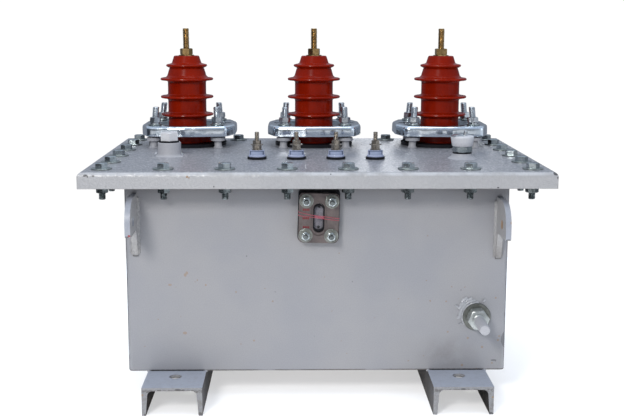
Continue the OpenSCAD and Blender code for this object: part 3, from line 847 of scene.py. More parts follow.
# LUG_PAINT and LUG_FACE are lit copies of one enamel: the bluer one on the lugs' upper edges is
# painted sky light, the warmer one on the sides and tails is raised for the key light they catch at
# a slant.
LUG_PAINT = Paint(
    "lug_enamel", (0.35, 0.366, 0.415), (0.37, 0.383, 0.425), peel_size=3.0, peel_depth=0.16,
    speckle=0.5,
    rust_marks=(
        Mark((312, -284, 322), 1.9, (1, 1, 1)), Mark((LUG_X, -250, 313), 11.0, (0.3, 1, 0.7))
    ),
    red_marks=(Mark((-305, -284, 301.5), 2.3, (1, 1, 1)),),
    dark_marks=(
        Mark((-309, -284, 299.0), 2.6, (0.8, 0.4, 1.4)),
        Mark((308, -284, 293.0), 2.6, (0.6, 0.4, 1.4)),
        Mark((-LUG_X, -250, 321), 5.5, (0.3, 1, 0.9)),
        Mark((LUG_X, -252, 307), 5.0, (0.6, 1, 1)),
    ),
)
LUG_FACE = Paint(
    "lug_face_enamel", (0.385, 0.378, 0.378), (0.41, 0.40, 0.398), roughness=0.48, peel_size=3.4,
    peel_depth=0.30, peel_shade=0.22, speckle=0.6,
    dark_marks=(
        Mark((LUG_X, -202, 245), 4.0, (0.5, 1, 1.2)), Mark((-LUG_X, -204, 251), 4.5, (0.4, 1, 1.6))
    ),
    mark_strength=0.6,
    # The patches on each lug tail are painted shade below the plate.
    stains_and_shade=tuple(
        Mark((x, -206, z), size) for z, size in ((242, 34.0), (236, 26.0), (230, 26.0))
        for x in (LUG_X, -LUG_X)
    ),
)
FITTING_PAINT = Paint(
    "fitting_enamel", (0.42, 0.42, 0.445), (0.46, 0.455, 0.475), roughness=0.45, peel_size=2.2,
    peel_depth=0.12, speckle=0.4,
)
# A near-black bead laid where each foot meets the tank: painted shade in the gap between them.
SEAM_SHADE = Paint(
    "seam_grime", (0.018, 0.018, 0.021), (0.034, 0.032, 0.034), roughness=0.7, peel_size=2.0,
    peel_depth=0.2,
)
WELD_PAINT = Paint(
    "weld_enamel", (0.375, 0.382, 0.405), (0.42, 0.425, 0.445), roughness=0.24, peel_depth=0.45,
    peel_shade=0.10,
)
CAP_PAINT = Paint(
    "cap_enamel", (0.68, 0.68, 0.705), (0.74, 0.735, 0.75), roughness=0.50, peel_size=2.8,
    peel_depth=0.16, speckle=0.5,
)
BUSHING_RESIN = Resin(
    "bushing_epoxy", (0.275, 0.0115, 0.0010), (0.220, 0.0080, 0.0008), (0.45, 0.20, 0.14),
    roughness=0.26,
)
TERMINAL_RESIN = Resin(
    "terminal_resin", (0.42, 0.46, 0.60), (0.33, 0.37, 0.52), (0.22, 0.22, 0.24), roughness=0.35
)
LABEL_FILM = Resin("label_film", (0.38, 0.43, 0.58), (0.33, 0.38, 0.52), (0.25, 0.27, 0.33))
LABEL_EDGE = Resin(
    "label_edge", (0.075, 0.095, 0.16), (0.05, 0.065, 0.12), (0.15, 0.16, 0.2), roughness=0.4
)
PLATE_METAL = Metal(
    "scale_plate", (0.245, 0.235, 0.27), (0.205, 0.195, 0.225), (0.13, 0.12, 0.13), roughness=0.55,
    blotch=12.0, grime_amount=0.20, dent=0.01, metallic=0.15,
)
# Dark metal laid in the clamps' dishes as painted shade, with some dirt from its noise.
DISH_SHADE = Metal(
    "dish_grime", (0.24, 0.26, 0.285), (0.15, 0.165, 0.18), (0.05, 0.052, 0.055), roughness=0.35,
    blotch=8.0, grime_amount=0.6, dent=0.3, metallic=0.8,
)
CLAMP_ZINC = Metal(
    "clamp_zinc", (0.80, 0.86, 0.92), (0.66, 0.74, 0.82), (0.36, 0.40, 0.44), roughness=0.15,
    blotch=19.0, grime_amount=0.10, dent=0.9, ripple=0.25,
)
BOLT_ZINC = Metal(
    "bolt_zinc", (0.54, 0.59, 0.60), (0.36, 0.405, 0.425), (0.06, 0.065, 0.07), roughness=0.20,
    dent=0.02, metallic=0.95,
)
WASHER_ZINC = Metal(
    "washer_zinc", (0.42, 0.455, 0.44), (0.30, 0.33, 0.32), (0.12, 0.125, 0.115), roughness=0.32,
    blotch=6.0, grime_amount=0.45, dent=0.06,
)
GAUGE_ZINC = Metal(
    "gauge_zinc", (0.325, 0.33, 0.305), (0.235, 0.24, 0.215), (0.12, 0.12, 0.10), roughness=0.34,
    blotch=6.0, grime_amount=0.30, dent=0.03, metallic=0.55,
)
# A darker copy of the bolts' zinc: painted shade for the nuts and tails under the rim; the gauge's
# stud tips use it too.
RIM_ZINC = Metal(
    "rim_zinc", (0.28, 0.31, 0.315), (0.13, 0.15, 0.155), (0.035, 0.038, 0.04), roughness=0.24,
    blotch=8.0, grime_amount=0.40,
)
STUD_ZINC = Metal(
    "stud_zinc", (0.64, 0.67, 0.70), (0.46, 0.49, 0.52), (0.10, 0.105, 0.11), blotch=7.0,
    grime_amount=0.40,
)
DRAIN_ZINC = Metal(
    "drain_zinc", (0.165, 0.170, 0.155), (0.115, 0.118, 0.105), (0.045, 0.047, 0.04),
    roughness=0.38, metallic=0.55,
)
DRAIN_NUT = Metal(
    "drain_nut_zinc", (0.50, 0.52, 0.51), (0.38, 0.40, 0.39), (0.07, 0.072, 0.065), dent=0.03,
    metallic=0.60,
)
BRASS = Metal(
    "brass_stud", (0.50, 0.34, 0.145), (0.30, 0.19, 0.08), (0.05, 0.035, 0.02), roughness=0.24,
    blotch=6.0, grime_amount=0.60, dent=0.04,
)
NICKEL = Metal(
    "nickel_stud", (0.46, 0.41, 0.35), (0.30, 0.26, 0.215), (0.06, 0.05, 0.04), roughness=0.28,
    blotch=4.0, grime_amount=0.60, dent=0.04,
)
GAUGE_IRON = Metal(
    "gauge_iron", (0.165, 0.135, 0.130), (0.13, 0.108, 0.105), (0.05, 0.045, 0.045), roughness=0.50,
    blotch=10.0, grime_amount=0.45, metallic=0.55,
)
RUBBER = Rubber("black_rubber", (0.007, 0.007, 0.010), (0.035, 0.035, 0.045))
DARK_RUBBER = Rubber("gasket_rubber", (0.008, 0.008, 0.009), (0.03, 0.03, 0.033))
SIGHT_GLASS = Glass("sight_glass")
THREAD = Twist("red_thread", (0.36, 0.03, 0.06), (0.50, 0.13, 0.17))
TICK_PAINT = Paint(
    "tick_enamel", (0.15, 0.004, 0.010), (0.19, 0.010, 0.018), roughness=0.6, peel_size=1.2,
    peel_depth=0.05, grain=0.0, peel_shade=0.0,
)

Finish = Union[Paint, Resin, Metal, Rubber, Glass, Twist]


class Finishes:
    """Builds each finish once and hands it out."""

    def __init__(self) -> None:
        """Starts with no material made."""
        self._made: dict[str, bpy.types.Material] = {}

    def get(self, finish: Finish) -> bpy.types.Material:
        """Hands out a finish's material, made the first time.

        Args:
            finish: The finish.

        Returns:
            Its material.
        """
        if finish.name not in self._made:
            self._made[finish.name] = finish.build()
        return self._made[finish.name]

    def dress(self, finish: Finish, *nodes: str) -> None:
        """Gives CAD nodes a finish.

        Args:
            finish: The finish.
            *nodes: Names of CAD nodes that stay on show.
        """
        for name in nodes:
            mesh = frame["nodes"][name].data
            mesh.materials.clear()
            mesh.materials.append(self.get(finish))
            LOG.info("node %s: %s", name, finish.name)


# ---------------------------------------------------------------- meshes


class Form:
    """A mesh under construction, in millimetres."""

    def __init__(self) -> None:
        """Starts empty."""
        self.points: list[Vector] = []
        self.faces: list[tuple[int, ...]] = []
        self.paints: list[int] = []

    def rings(self, rings: Sequence[Ring], loop: bool = False) -> "Form":
        """Joins rings of equal length into a closed skin.

        Args:
            rings: Closed rings of points, from one end to the other.
            loop: Join the last ring to the first; otherwise both are capped.

        Returns:
            This form.
        """
        first, size, count = len(self.points), len(rings[0]), len(rings)
        self.points += [Vector(p) for ring in rings for p in ring]
        made: list[tuple[int, ...]] = []
        for i in range(count if loop else count - 1):
            low, high = first + i * size, first + ((i + 1) % count) * size
            for k in range(size):
                after = (k + 1) % size
                made.append((low + k, low + after, high + after, high + k))
        if not loop:
            made.append(tuple(first + k for k in reversed(range(size))))
            made.append(tuple(first + (count - 1) * size + k for k in range(size)))
        self.faces += made
        self.paints += [0] * len(made)
        return self

    def add(self, other: "Form", place: Optional[Matrix] = None) -> "Form":
        """Adds a copy of another form.

        Args:
            other: The form to copy.
            place: Where to put the copy.

        Returns:
            This form.
        """
        first = len(self.points)
        place = place or Matrix()
        self.points += [place @ p for p in other.points]
        self.faces += [tuple(first + i for i in face) for face in other.faces]
        self.paints += other.paints
        return self

    def painted(self, paint: int) -> "Form":
        """Gives all the faces one material's number."""
        self.paints = [paint] * len(self.faces)
        return self

    def placed(self, place: Matrix) -> "Form":
        """A copy of this form at a place."""
        return Form().add(self, place)

    def mesh(
        self, name: str, materials: Sequence[bpy.types.Material], crease: float = CREASE
    ) -> bpy.types.Mesh:
        """Makes a Blender mesh in metres.

        Args:
            name: The mesh's name.
            materials: Its materials, in the order of the paint numbers.
            crease: Edges sharper than this angle in degrees stay sharp.

        Returns:
            The mesh, with faces outwards.
        """
        mesh = bpy.data.meshes.new(name)
        mesh.from_pydata([p * MM for p in self.points], [], self.faces)
        for material in materials:
            mesh.materials.append(material)
        mesh.polygons.foreach_set("material_index", self.paints)
        finish_mesh(mesh, crease)
        return mesh


def finish_mesh(mesh: bpy.types.Mesh, crease: float) -> None:
    """Turns the faces outwards and marks the sharp edges.

    Args:
        mesh: The mesh to finish.
        crease: Edges sharper than this angle in degrees stay sharp.
    """
    work = bmesh.new()
    work.from_mesh(mesh)
    bmesh.ops.remove_doubles(work, verts=work.verts, dist=1e-7)
    bmesh.ops.recalc_face_normals(work, faces=work.faces)
    limit = math.radians(crease)
    for face in work.faces:
        face.smooth = True
    for edge in work.edges:
        edge.smooth = len(edge.link_faces) == 2 and edge.calc_face_angle(0.0) < limit
    work.to_mesh(mesh)
    work.free()
    mesh.update()


def circle(radius: float, z: float, count: int = 36) -> list[Point]:
    """A level ring of points."""
    angles = (math.tau / count * i for i in range(count))
    return [(radius * math.cos(a), radius * math.sin(a), z) for a in angles]


def lathe(profile: Sequence[tuple[float, float]], count: int = 36, loop: bool = False) -> Form:
    """Turns a profile about Z.

    Args:
        profile: Pairs of radius and height.
        count: Number of sides.
        loop: Close the profile, as for a ring; otherwise its ends are capped.

    Returns:
        The turned form.
    """
    return Form().rings([circle(r, z, count) for r, z in profile], loop=loop)


def washer(radius: float, hole: float, thick: float, edge: float = 0.35, count: int = 40) -> Form:
    """A flat washer standing on z = 0, with soft edges.

    Args:
        radius: Outside radius.
        hole: Inside radius.
        thick: Thickness.
        edge: Width of the bevels.
        count: Number of sides.

    Returns:
        The washer.
    """
    low = [(hole, 0), (radius - edge, 0), (radius, edge)]
    high = [(radius, thick - edge), (radius - edge, thick), (hole, thick)]
    return lathe(low + high, count, loop=True)


def hexagon(flats: float, low: float, high: float, bore: float = 0.0, both: bool = True) -> Form:
    """A hexagon nut or head with chamfered corners.

    Args:
        flats: Distance across the flats.
        low: Height of the bottom.
        high: Height of the top.
        bore: Radius of the hole, or 0 for a solid head.
        both: Chamfer the bottom as well as the top.

    Returns:
        The nut or head.
    """
    count = 36
    angles = [math.tau * i / count for i in range(count)]
    sixth = math.pi / 3
    reach = [flats / 2 / math.cos((a + sixth / 2) % sixth - sixth / 2) for a in angles]
    seat = flats / 2 * 0.97
    drop = [max(0.0, r - seat) * math.tan(math.radians(30)) for r in reach]

    def ring(radii: Sequence[float], heights: Sequence[float]) -> list[Point]:
        """Points at these radii and heights."""
        return [(r * math.cos(a), r * math.sin(a), h) for a, r, h in zip(angles, radii, heights)]

    lower = ring(reach, [low + (d if both else 0.0) for d in drop])
    upper = ring(reach, [high - d for d in drop])
    rows = [circle(seat, low, count), lower, upper, circle(seat, high, count)]
    if bore:
        rows = [circle(bore, low, count)] + rows + [circle(bore, high, count)]
    return Form().rings(rows, loop=bool(bore))


def thread(
    radius: float, pitch: float, low: float, high: float, sides: int = 24, per_turn: int = 5
) -> Form:
    """A rod with a helical thread and chamfered ends.

    Args:
        radius: Outside radius.
        pitch: Distance between turns.
        low: Height of the lower end.
        high: Height of the upper end.
        sides: Number of sides.
        per_turn: Rows in each turn.

    Returns:
        The rod.
    """
    depth = pitch * 0.50
    rows = max(2, int((high - low) / pitch * per_turn))
    made = []
    for j in range(rows + 1):
        z = low + (high - low) * j / rows
        ring = []
        for i in range(sides):
            phase = (z / pitch - i / sides) % 1.0
            tooth = min(1.0, 1.25 * (1 - abs(2 * phase - 1)))
            near_end = min(high - z, z - low)
            r = min(radius - depth * (1 - tooth), radius - depth + near_end * 1.1)
            ring.append((r * math.cos(math.tau * i / sides), r * math.sin(math.tau * i / sides), z))
        made.append(ring)
    return Form().rings(made)


def spring_ring(radius: float, hole: float, thick: float) -> Form:
    """A split spring washer standing on z = 0.

    Args:
        radius: Outside radius.
        hole: Inside radius.
        thick: Thickness.

    Returns:
        The washer.
    """
    low, high = 0.12 * thick, 0.88 * thick
    steps = 30
    corners = ((hole, low), (radius, low), (radius, high), (hole, high))
    rows = []
    for i in range(steps + 1):
        a = math.radians(12 + 336 * i / steps)
        lift = 0.25 * thick * (i / steps - 0.5)
        rows.append([(r * math.cos(a), r * math.sin(a), z + lift) for r, z in corners])
    return Form().rings(rows)


def box_form(low: Point, high: Point) -> Form:
    """A plain block.

    Args:
        low: Its lowest corner.
        high: Its highest corner.

    Returns:
        The block.
    """
    (x0, y0, z0), (x1, y1, z1) = low, high
    rows = [[(x0, y0, z), (x1, y0, z), (x1, y1, z), (x0, y1, z)] for z in (z0, z1)]
    return Form().rings(rows)


def new_piece(
    name: str, mesh: bpy.types.Mesh, replaces: Sequence[str] = ()
) -> bpy.types.Object:
    """Makes a mesh a piece of the object that rides on its one body.

    Args:
        name: Name of the piece.
        mesh: Its mesh, in place.
        replaces: CAD nodes that the piece stands for.

    Returns:
        The new object.
    """
    piece = bpy.data.objects.new(name, mesh)
    bpy.context.scene.collection.objects.link(piece)
    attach(piece, "root")
    if replaces:
        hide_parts(*replaces)
    LOG.info("piece %s: %d faces", name, len(mesh.polygons))
    return piece


def cut_out(piece: bpy.types.Object, tool: Form) -> None:
    """Cuts a closed form out of a piece's mesh.

    Args:
        piece: The piece.
        tool: The form to take away.
    """
    cutter = bpy.data.objects.new("cutter", tool.mesh("cutter", []))
    bpy.context.scene.collection.objects.link(cutter)
    modifier = piece.modifiers.new("cut", "BOOLEAN")
    modifier.operation, modifier.solver, modifier.object = "DIFFERENCE", "EXACT", cutter
    bpy.context.view_layer.update()
    graph = bpy.context.evaluated_depsgraph_get()
    mesh = bpy.data.meshes.new_from_object(piece.evaluated_get(graph))
    piece.modifiers.remove(modifier)
    bpy.data.objects.remove(cutter)
    finish_mesh(mesh, CREASE)
    piece.data = mesh


def lifted(z: float) -> Matrix:
    """A move straight up."""
    return Matrix.Translation((0, 0, z))


def box_of(node: str) -> tuple[Vector, Vector]:
    """Lowest and highest corner of a CAD node, in millimetres."""
    low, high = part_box(node)
    return low / MM, high / MM


def centre_of(node: str) -> Vector:
    """Middle of a CAD node's box, in millimetres."""
    low, high = box_of(node)
    return (low + high) / 2


# ---------------------------------------------------------------- geometry nodes


class NodeTool:
    """Builds one Geometry Nodes tree with named inputs and bakes it."""

    def __init__(self, name: str) -> None:
        """Starts a tree with a geometry input and output.

        Args:
            name: The tree's name.
        """
        self.tree = bpy.data.node_groups.new(name, "GeometryNodeTree")
        self.ids: dict[str, str] = {}
        self.put("Geometry", "NodeSocketGeometry", "INPUT")
        self.put("Geometry", "NodeSocketGeometry", "OUTPUT")
        self.start = self.tree.nodes.new("NodeGroupInput")
        self.end = self.tree.nodes.new("NodeGroupOutput")

    def put(self, name: str, kind: str, side: str) -> None:
        """Adds a named input or output.

        Args:
            name: Its name.
            kind: The type of its socket.
            side: INPUT or OUTPUT.
        """
        made = self.tree.interface.new_socket(name=name, socket_type=kind, in_out=side)
        if side == "INPUT":
            self.ids[name] = made.identifier

    def entry(self, name: str, kind: str = "NodeSocketFloat") -> bpy.types.NodeSocket:
        """Adds a named input, if there is none yet.

        Args:
            name: Its name.
            kind: The type of its socket.

        Returns:
            Its socket inside the tree.
        """
        if name not in self.ids:
            self.put(name, kind, "INPUT")
        return self.start.outputs[name]

    def node(
        self, kind: str, settings: Optional[dict] = None, sockets: Optional[dict] = None
    ) -> bpy.types.Node:
        """Adds a node.

        Args:
            kind: The node's type.
            settings: Its properties, set first.
            sockets: Values or links of its inputs, by index or name.

        Returns:
            The node.
        """
        made = self.tree.nodes.new(kind)
        for key, value in (settings or {}).items():
            setattr(made, key, value)
        for key, value in (sockets or {}).items():
            if isinstance(value, bpy.types.NodeSocket):
                self.tree.links.new(value, made.inputs[key])
            else:
                made.inputs[key].default_value = value
        return made

    def math(
        self, operation: str, *values: Union[bpy.types.NodeSocket, float]
    ) -> bpy.types.NodeSocket:
        """The result of a Math node."""
        return self.node(
            "ShaderNodeMath", {"operation": operation}, dict(enumerate(values))
        ).outputs[0]

    def close(self, geometry: bpy.types.NodeSocket) -> None:
        """Ends the tree in Realize Instances and Set Material.

        Args:
            geometry: The geometry so far.
        """
        material = self.entry("Finish", "NodeSocketMaterial")
        real = self.node("GeometryNodeRealizeInstances", None, {0: geometry})
        painted = self.node(
            "GeometryNodeSetMaterial", None, {"Geometry": real.outputs[0], "Material": material}
        )
        self.tree.links.new(painted.outputs[0], self.end.inputs[0])

    def bake(self, base: bpy.types.Mesh, values: dict) -> bpy.types.Mesh:
        """Runs the tree on a mesh and returns the result as a plain mesh.

        Args:
            base: The mesh that the tree starts from.
            values: Values of the named inputs.

        Returns:
            The plain mesh.
        """
        carrier = bpy.data.objects.new(self.tree.name, base)
        bpy.context.scene.collection.objects.link(carrier)
        modifier = carrier.modifiers.new("build", "NODES")
        modifier.node_group = self.tree
        for name, value in values.items():
            modifier[self.ids[name]] = value
        bpy.context.view_layer.update()
        graph = bpy.context.evaluated_depsgraph_get()
        mesh = bpy.data.meshes.new_from_object(carrier.evaluated_get(graph))
        carrier.modifiers.remove(modifier)
        bpy.data.objects.remove(carrier)
        finish_mesh(mesh, BAKED_CREASE)
        return mesh


def scatter_tool() -> NodeTool:
    """A tree that sets a fastener on each point and turns each by chance.

    Returns:
        The tree, with the inputs Fastener, Turn and Finish.
    """
    tool = NodeTool("set_fasteners")
    fastener = tool.entry("Fastener", "NodeSocketObject")
    turn = tool.entry("Turn")
    info = tool.node(
        "GeometryNodeObjectInfo", {"transform_space": "RELATIVE"}, {"Object": fastener}
    )
    spin = tool.node("FunctionNodeRandomValue", {"data_type": "FLOAT"}, {"Seed": SEED})
    tool.tree.links.new(turn, spin.inputs[3])
    angles = tool.node("ShaderNodeCombineXYZ", None, {2: spin.outputs[1]})
    parts = {
        "Points": tool.start.outputs["Geometry"], "Instance": info.outputs["Geometry"],
        "Rotation": angles.outputs[0],
    }
    placed = tool.node("GeometryNodeInstanceOnPoints", None, parts)
    tool.close(placed.outputs[0])
    return tool


def bead_tool() -> NodeTool:
    """A tree that lays a rippled weld bead along each edge of a mesh.

    Returns:
        The tree, with the inputs Radius, Step, Rough and Finish.
    """
    tool = NodeTool("lay_bead")
    radius, step, rough = tool.entry("Radius"), tool.entry("Step"), tool.entry("Rough")
    line = tool.node("GeometryNodeMeshToCurve", None, {0: tool.start.outputs["Geometry"]})
    even = tool.node(
        "GeometryNodeResampleCurve", {"mode": "LENGTH"}, {"Curve": line.outputs[0], "Length": step}
    )
    index = tool.node("GeometryNodeInputIndex").outputs[0]
    swell = tool.math(
        "MULTIPLY_ADD", tool.math("SINE", tool.math("MULTIPLY", index, 2.1)), 0.16, 1.0
    )
    scaled = tool.math("MULTIPLY", swell, radius)
    sized = tool.node(
        "GeometryNodeSetCurveRadius", None, {"Curve": even.outputs[0], "Radius": scaled}
    )
    section = tool.node("GeometryNodeCurvePrimitiveCircle", None, {"Resolution": 8, "Radius": 1.0})
    width = tool.node("GeometryNodeInputRadius").outputs[0]
    sweep = {
        "Curve": sized.outputs[0], "Profile Curve": section.outputs[0], "Fill Caps": True,
        "Scale": width,
    }
    bead = tool.node("GeometryNodeCurveToMesh", None, sweep)
    cloud = tool.node("ShaderNodeTexNoise", None, {"Scale": 220.0, "Detail": 2.0})
    middle = {0: cloud.outputs[1], 1: (0.5, 0.5, 0.5)}
    centred = tool.node("ShaderNodeVectorMath", {"operation": "SUBTRACT"}, middle)
    moved = tool.node(
        "ShaderNodeVectorMath", {"operation": "SCALE"}, {0: centred.outputs[0], "Scale": rough}
    )
    shaken = tool.node(
        "GeometryNodeSetPosition", None, {"Geometry": bead.outputs[0], "Offset": moved.outputs[0]}
    )
    tool.close(shaken.outputs[0])
    return tool


def line_mesh(lines: Sequence[Sequence[Point]]) -> bpy.types.Mesh:
    """A mesh of open lines.

    Args:
        lines: Their points, in millimetres.

    Returns:
        The mesh.
    """
    points: list[Point] = []
    edges: list[tuple[int, int]] = []
    for line in lines:
        first = len(points)
        points += [tuple(c * MM for c in p) for p in line]
        edges += [(first + i, first + i + 1) for i in range(len(line) - 1)]
    mesh = bpy.data.meshes.new("line")
    mesh.from_pydata(points, edges, [])
    return mesh


def tube(path: Sequence[Point], radius: float, sides: int = 8) -> Form:
    """A round tube along a path.

    Args:
        path: Points of its middle line.
        radius: Its radius.
        sides: Number of sides.

    Returns:
        The tube.
    """
    rows = []
    points = [Vector(p) for p in path]
    up, right = Vector((0, 0, 1)), Vector((1, 0, 0))
    angles = [math.tau * k / sides for k in range(sides)]
    for i, point in enumerate(points):
        ahead = (points[min(i + 1, len(points) - 1)] - points[max(i - 1, 0)]).normalized()
        side = ahead.cross(up if abs(ahead.dot(up)) < 0.95 else right).normalized()
        other = side.cross(ahead)
        rows.append([point + (side * math.cos(t) + other * math.sin(t)) * radius for t in angles])
    return Form().rings(rows)


# ---------------------------------------------------------------- pieces


@dataclass(frozen=True)
class Bead:
    """Sizes of a weld bead, in millimetres."""

    radius: float
    step: float
    rough: float


@dataclass
class Assembly:
    """A sub-assembly, which dresses CAD nodes and adds pieces of its own."""

    finishes: Finishes

    def keep(
        self,
        name: str,
        form: Form,
        slot: Slot,
        coats: Sequence[Finish],
        replaces: Sequence[str] = (),
        crease: float = CREASE,
    ) -> bpy.types.Object:
        """Makes a form a piece.

        Args:
            name: Name of the piece.
            form: Its form, in place.
            slot: The record's material slot; not used.
            coats: Its finishes, in the order of the paint numbers.
            replaces: CAD nodes that the piece stands for.
            crease: Edges sharper than this angle in degrees stay sharp.

        Returns:
            The new object.
        """
        mesh = form.mesh(name, [self.finishes.get(coat) for coat in coats], crease)
        return new_piece(name, mesh, replaces)

    def lay_beads(
        self, name: str, lines: Sequence[Sequence[Point]], bead: Bead, coat: Paint
    ) -> None:
        """Makes weld beads along lines one piece.

        Args:
            name: Name of the piece.
            lines: Points of the beads' middle lines.
            bead: Sizes of the beads.
            coat: Their finish.
        """
        sizes = {"Radius": bead.radius * MM, "Step": bead.step * MM, "Rough": bead.rough * MM}
        mesh = bead_tool().bake(line_mesh(lines), {**sizes, "Finish": self.finishes.get(coat)})
        new_piece(name, mesh)


@dataclass
class Steelwork(Assembly):
    """Tank, feet, rim and cover, as the CAD gives them, with their welds."""

    wall_bead: Bead = Bead(2.6, 3.2, 0.9)
    seam_bead: Bead = Bead(1.25, 3.0, 0.8)
    tack_bead: Bead = Bead(2.3, 2.4, 1.6)

    def build(self) -> None:
        """Dresses the steel nodes and adds the weld beads."""
        give = self.finishes.dress
        give(
            TANK_PAINT, "front_wall", "back_wall", "left_wall", "right_wall", "tank_floor",
            "tank_rim",
        )
        give(FOOT_PAINT, *FEET)
        give(COVER_PAINT, "cover")
        give(DARK_RUBBER, "cover_gasket")
        give(RUBBER, "top_gaskets")
        self._weld_tank()
        self._weld_feet()

    def _weld_tank(self) -> None:
        """Lays beads along the feet under the tank's floor and under the rim."""
        low, high = box_of("front_wall")
        front, back = low.y, -low.y
        lines: list[list[Point]] = []
        for foot in FEET:
            foot_low, foot_high = box_of(foot)
            z = foot_high.z + 0.3
            lines += [[(x, front + 12, z), (x, back - 12, z)] for x in (foot_low.x, foot_high.x)]
        rim = box_of("tank_rim")[0].z
        lines += [[(low.x + 8, y, rim), (high.x - 8, y, rim)] for y in (front, back)]
        lines += [[(x, front + 8, rim), (x, back - 8, rim)] for x in (low.x, high.x)]
        self.lay_beads("tank_welds", lines, self.wall_bead, TANK_PAINT)

    def _weld_feet(self) -> None:
        """Lays a dark bead across each end of the feet as painted shade in the gap under the tank,
        and a tack at each corner.
        """
        front = box_of("front_wall")[0].y
        seams: list[list[Point]] = []
        ends: list[list[Point]] = []
        for foot in FEET:
            low, high = box_of(foot)
            for y in (front, -front):
                out = math.copysign(0.5, y)
                seams.append([(x, y + out, high.z + 0.7) for x in (low.x + 5, high.x - 5)])
                for x, step in ((low.x - 1, 4.0), (high.x + 1, -4.0)):
                    ends.append([(x, y - out * 2, high.z - 1.4), (x + step, y, high.z + 0.4)])
        self.lay_beads("foot_seams", seams, self.seam_bead, SEAM_SHADE)
        self.lay_beads("foot_tacks", ends, self.tack_bead, WELD_PAINT)


@dataclass
class CoverBolts(Assembly):
    """Hexagon bolts, washers and nuts that hold the cover on the rim."""

    flats: float = 19.2
    head: float = 8.4
    nut: float = 10.4
    washer_radius: float = 17.2
    washer_thick: float = 2.4
    washer_hole: float = 6.5
    thread_radius: float = 5.9
    inset_front: float = 40.0
    inset_side: float = 34.0
    columns: tuple[float, ...] = (-356.5, -255.1, -153.5, -50.6, 50.3, 149.4, 253.2, 356.0)
    rows: tuple[float, ...] = (45.0, 135.0)

    def build(self) -> None:
        """Makes the bolts, then the washers, which keep a finish of their own."""
        low, high = box_of("cover")
        lip = box_of("tank_rim")[0].z
        places = self._places(low, high)
        base = bpy.data.meshes.new("bolt_places")
        base.from_pydata([(x * MM, y * MM, 0) for x, y in places], [], [])
        self._set(base, "cover_bolts", self._bolt(high.z), BOLT_ZINC)
        # The nuts and tails under the rim take the darker zinc as painted shade.
        self._set(base, "rim_nuts", self._nut(lip), RIM_ZINC)
        self._set(base, "cover_washers", self._washers(high.z, lip), WASHER_ZINC)

    def _places(self, low: Vector, high: Vector) -> list[tuple[float, float]]:
        """Plan positions of the bolts.

        Args:
            low: The cover's lowest corner; not used.
            high: The cover's highest corner.

        Returns:
            Pairs of x and y in millimetres.
        """
        edge_x, edge_y = high.x - self.inset_side, high.y - self.inset_front
        spots = [(x, s * edge_y) for x in self.columns for s in (-1, 1)]
        spots += [(sx * edge_x, sy * y) for y in self.rows for sx in (-1, 1) for sy in (-1, 1)]
        return spots

    def _bolt(self, top: float) -> Form:
        """One bolt head, about the Z axis.

        Args:
            top: Height of the cover's top.

        Returns:
            The head.
        """
        seat = top + self.washer_thick
        crown = seat + self.head
        face = [
            (self.flats * 0.40, crown - 0.2), (self.flats * 0.36, crown - 0.05), (2.0, crown - 0.05)
        ]
        return Form().add(hexagon(self.flats, seat, crown, both=False)).add(lathe(face, 24))

    def _nut(self, rim: float) -> Form:
        """One nut and the bolt's threaded tail.

        Args:
            rim: Height of the rim's underside.

        Returns:
            The nut and the tail.
        """
        seat = rim - self.washer_thick
        form = Form().add(hexagon(self.flats, seat - self.nut, seat, bore=self.thread_radius - 0.3))
        return form.add(thread(self.thread_radius, 2.2, rim - 24.0, seat - 2, 18, 5))

    def _washers(self, top: float, rim: float) -> Form:
        """The washers of one bolt.

        Args:
            top: Height of the cover's top.
            rim: Height of the rim's underside.

        Returns:
            The large washer above and the small one below.
        """
        small = self.washer_radius * 0.78
        form = Form()
        for radius, z in ((self.washer_radius, top), (small, rim - self.washer_thick)):
            form.add(washer(radius, self.washer_hole, self.washer_thick), lifted(z))
        return form

    def _set(self, base: bpy.types.Mesh, name: str, form: Form, finish: Metal) -> None:
        """Sets one form on all places and makes the result a piece.

        Args:
            base: Mesh with a point at each place.
            name: Name of the piece.
            form: The form, about the Z axis.
            finish: Its finish.
        """
        material = self.finishes.get(finish)
        sample = bpy.data.objects.new(name + "_sample", form.mesh(name + "_sample", [material]))
        bpy.context.scene.collection.objects.link(sample)
        mesh = scatter_tool().bake(
            base.copy(), {"Fastener": sample, "Turn": math.pi, "Finish": material}
        )
        bpy.data.objects.remove(sample)
        new_piece(name, mesh)


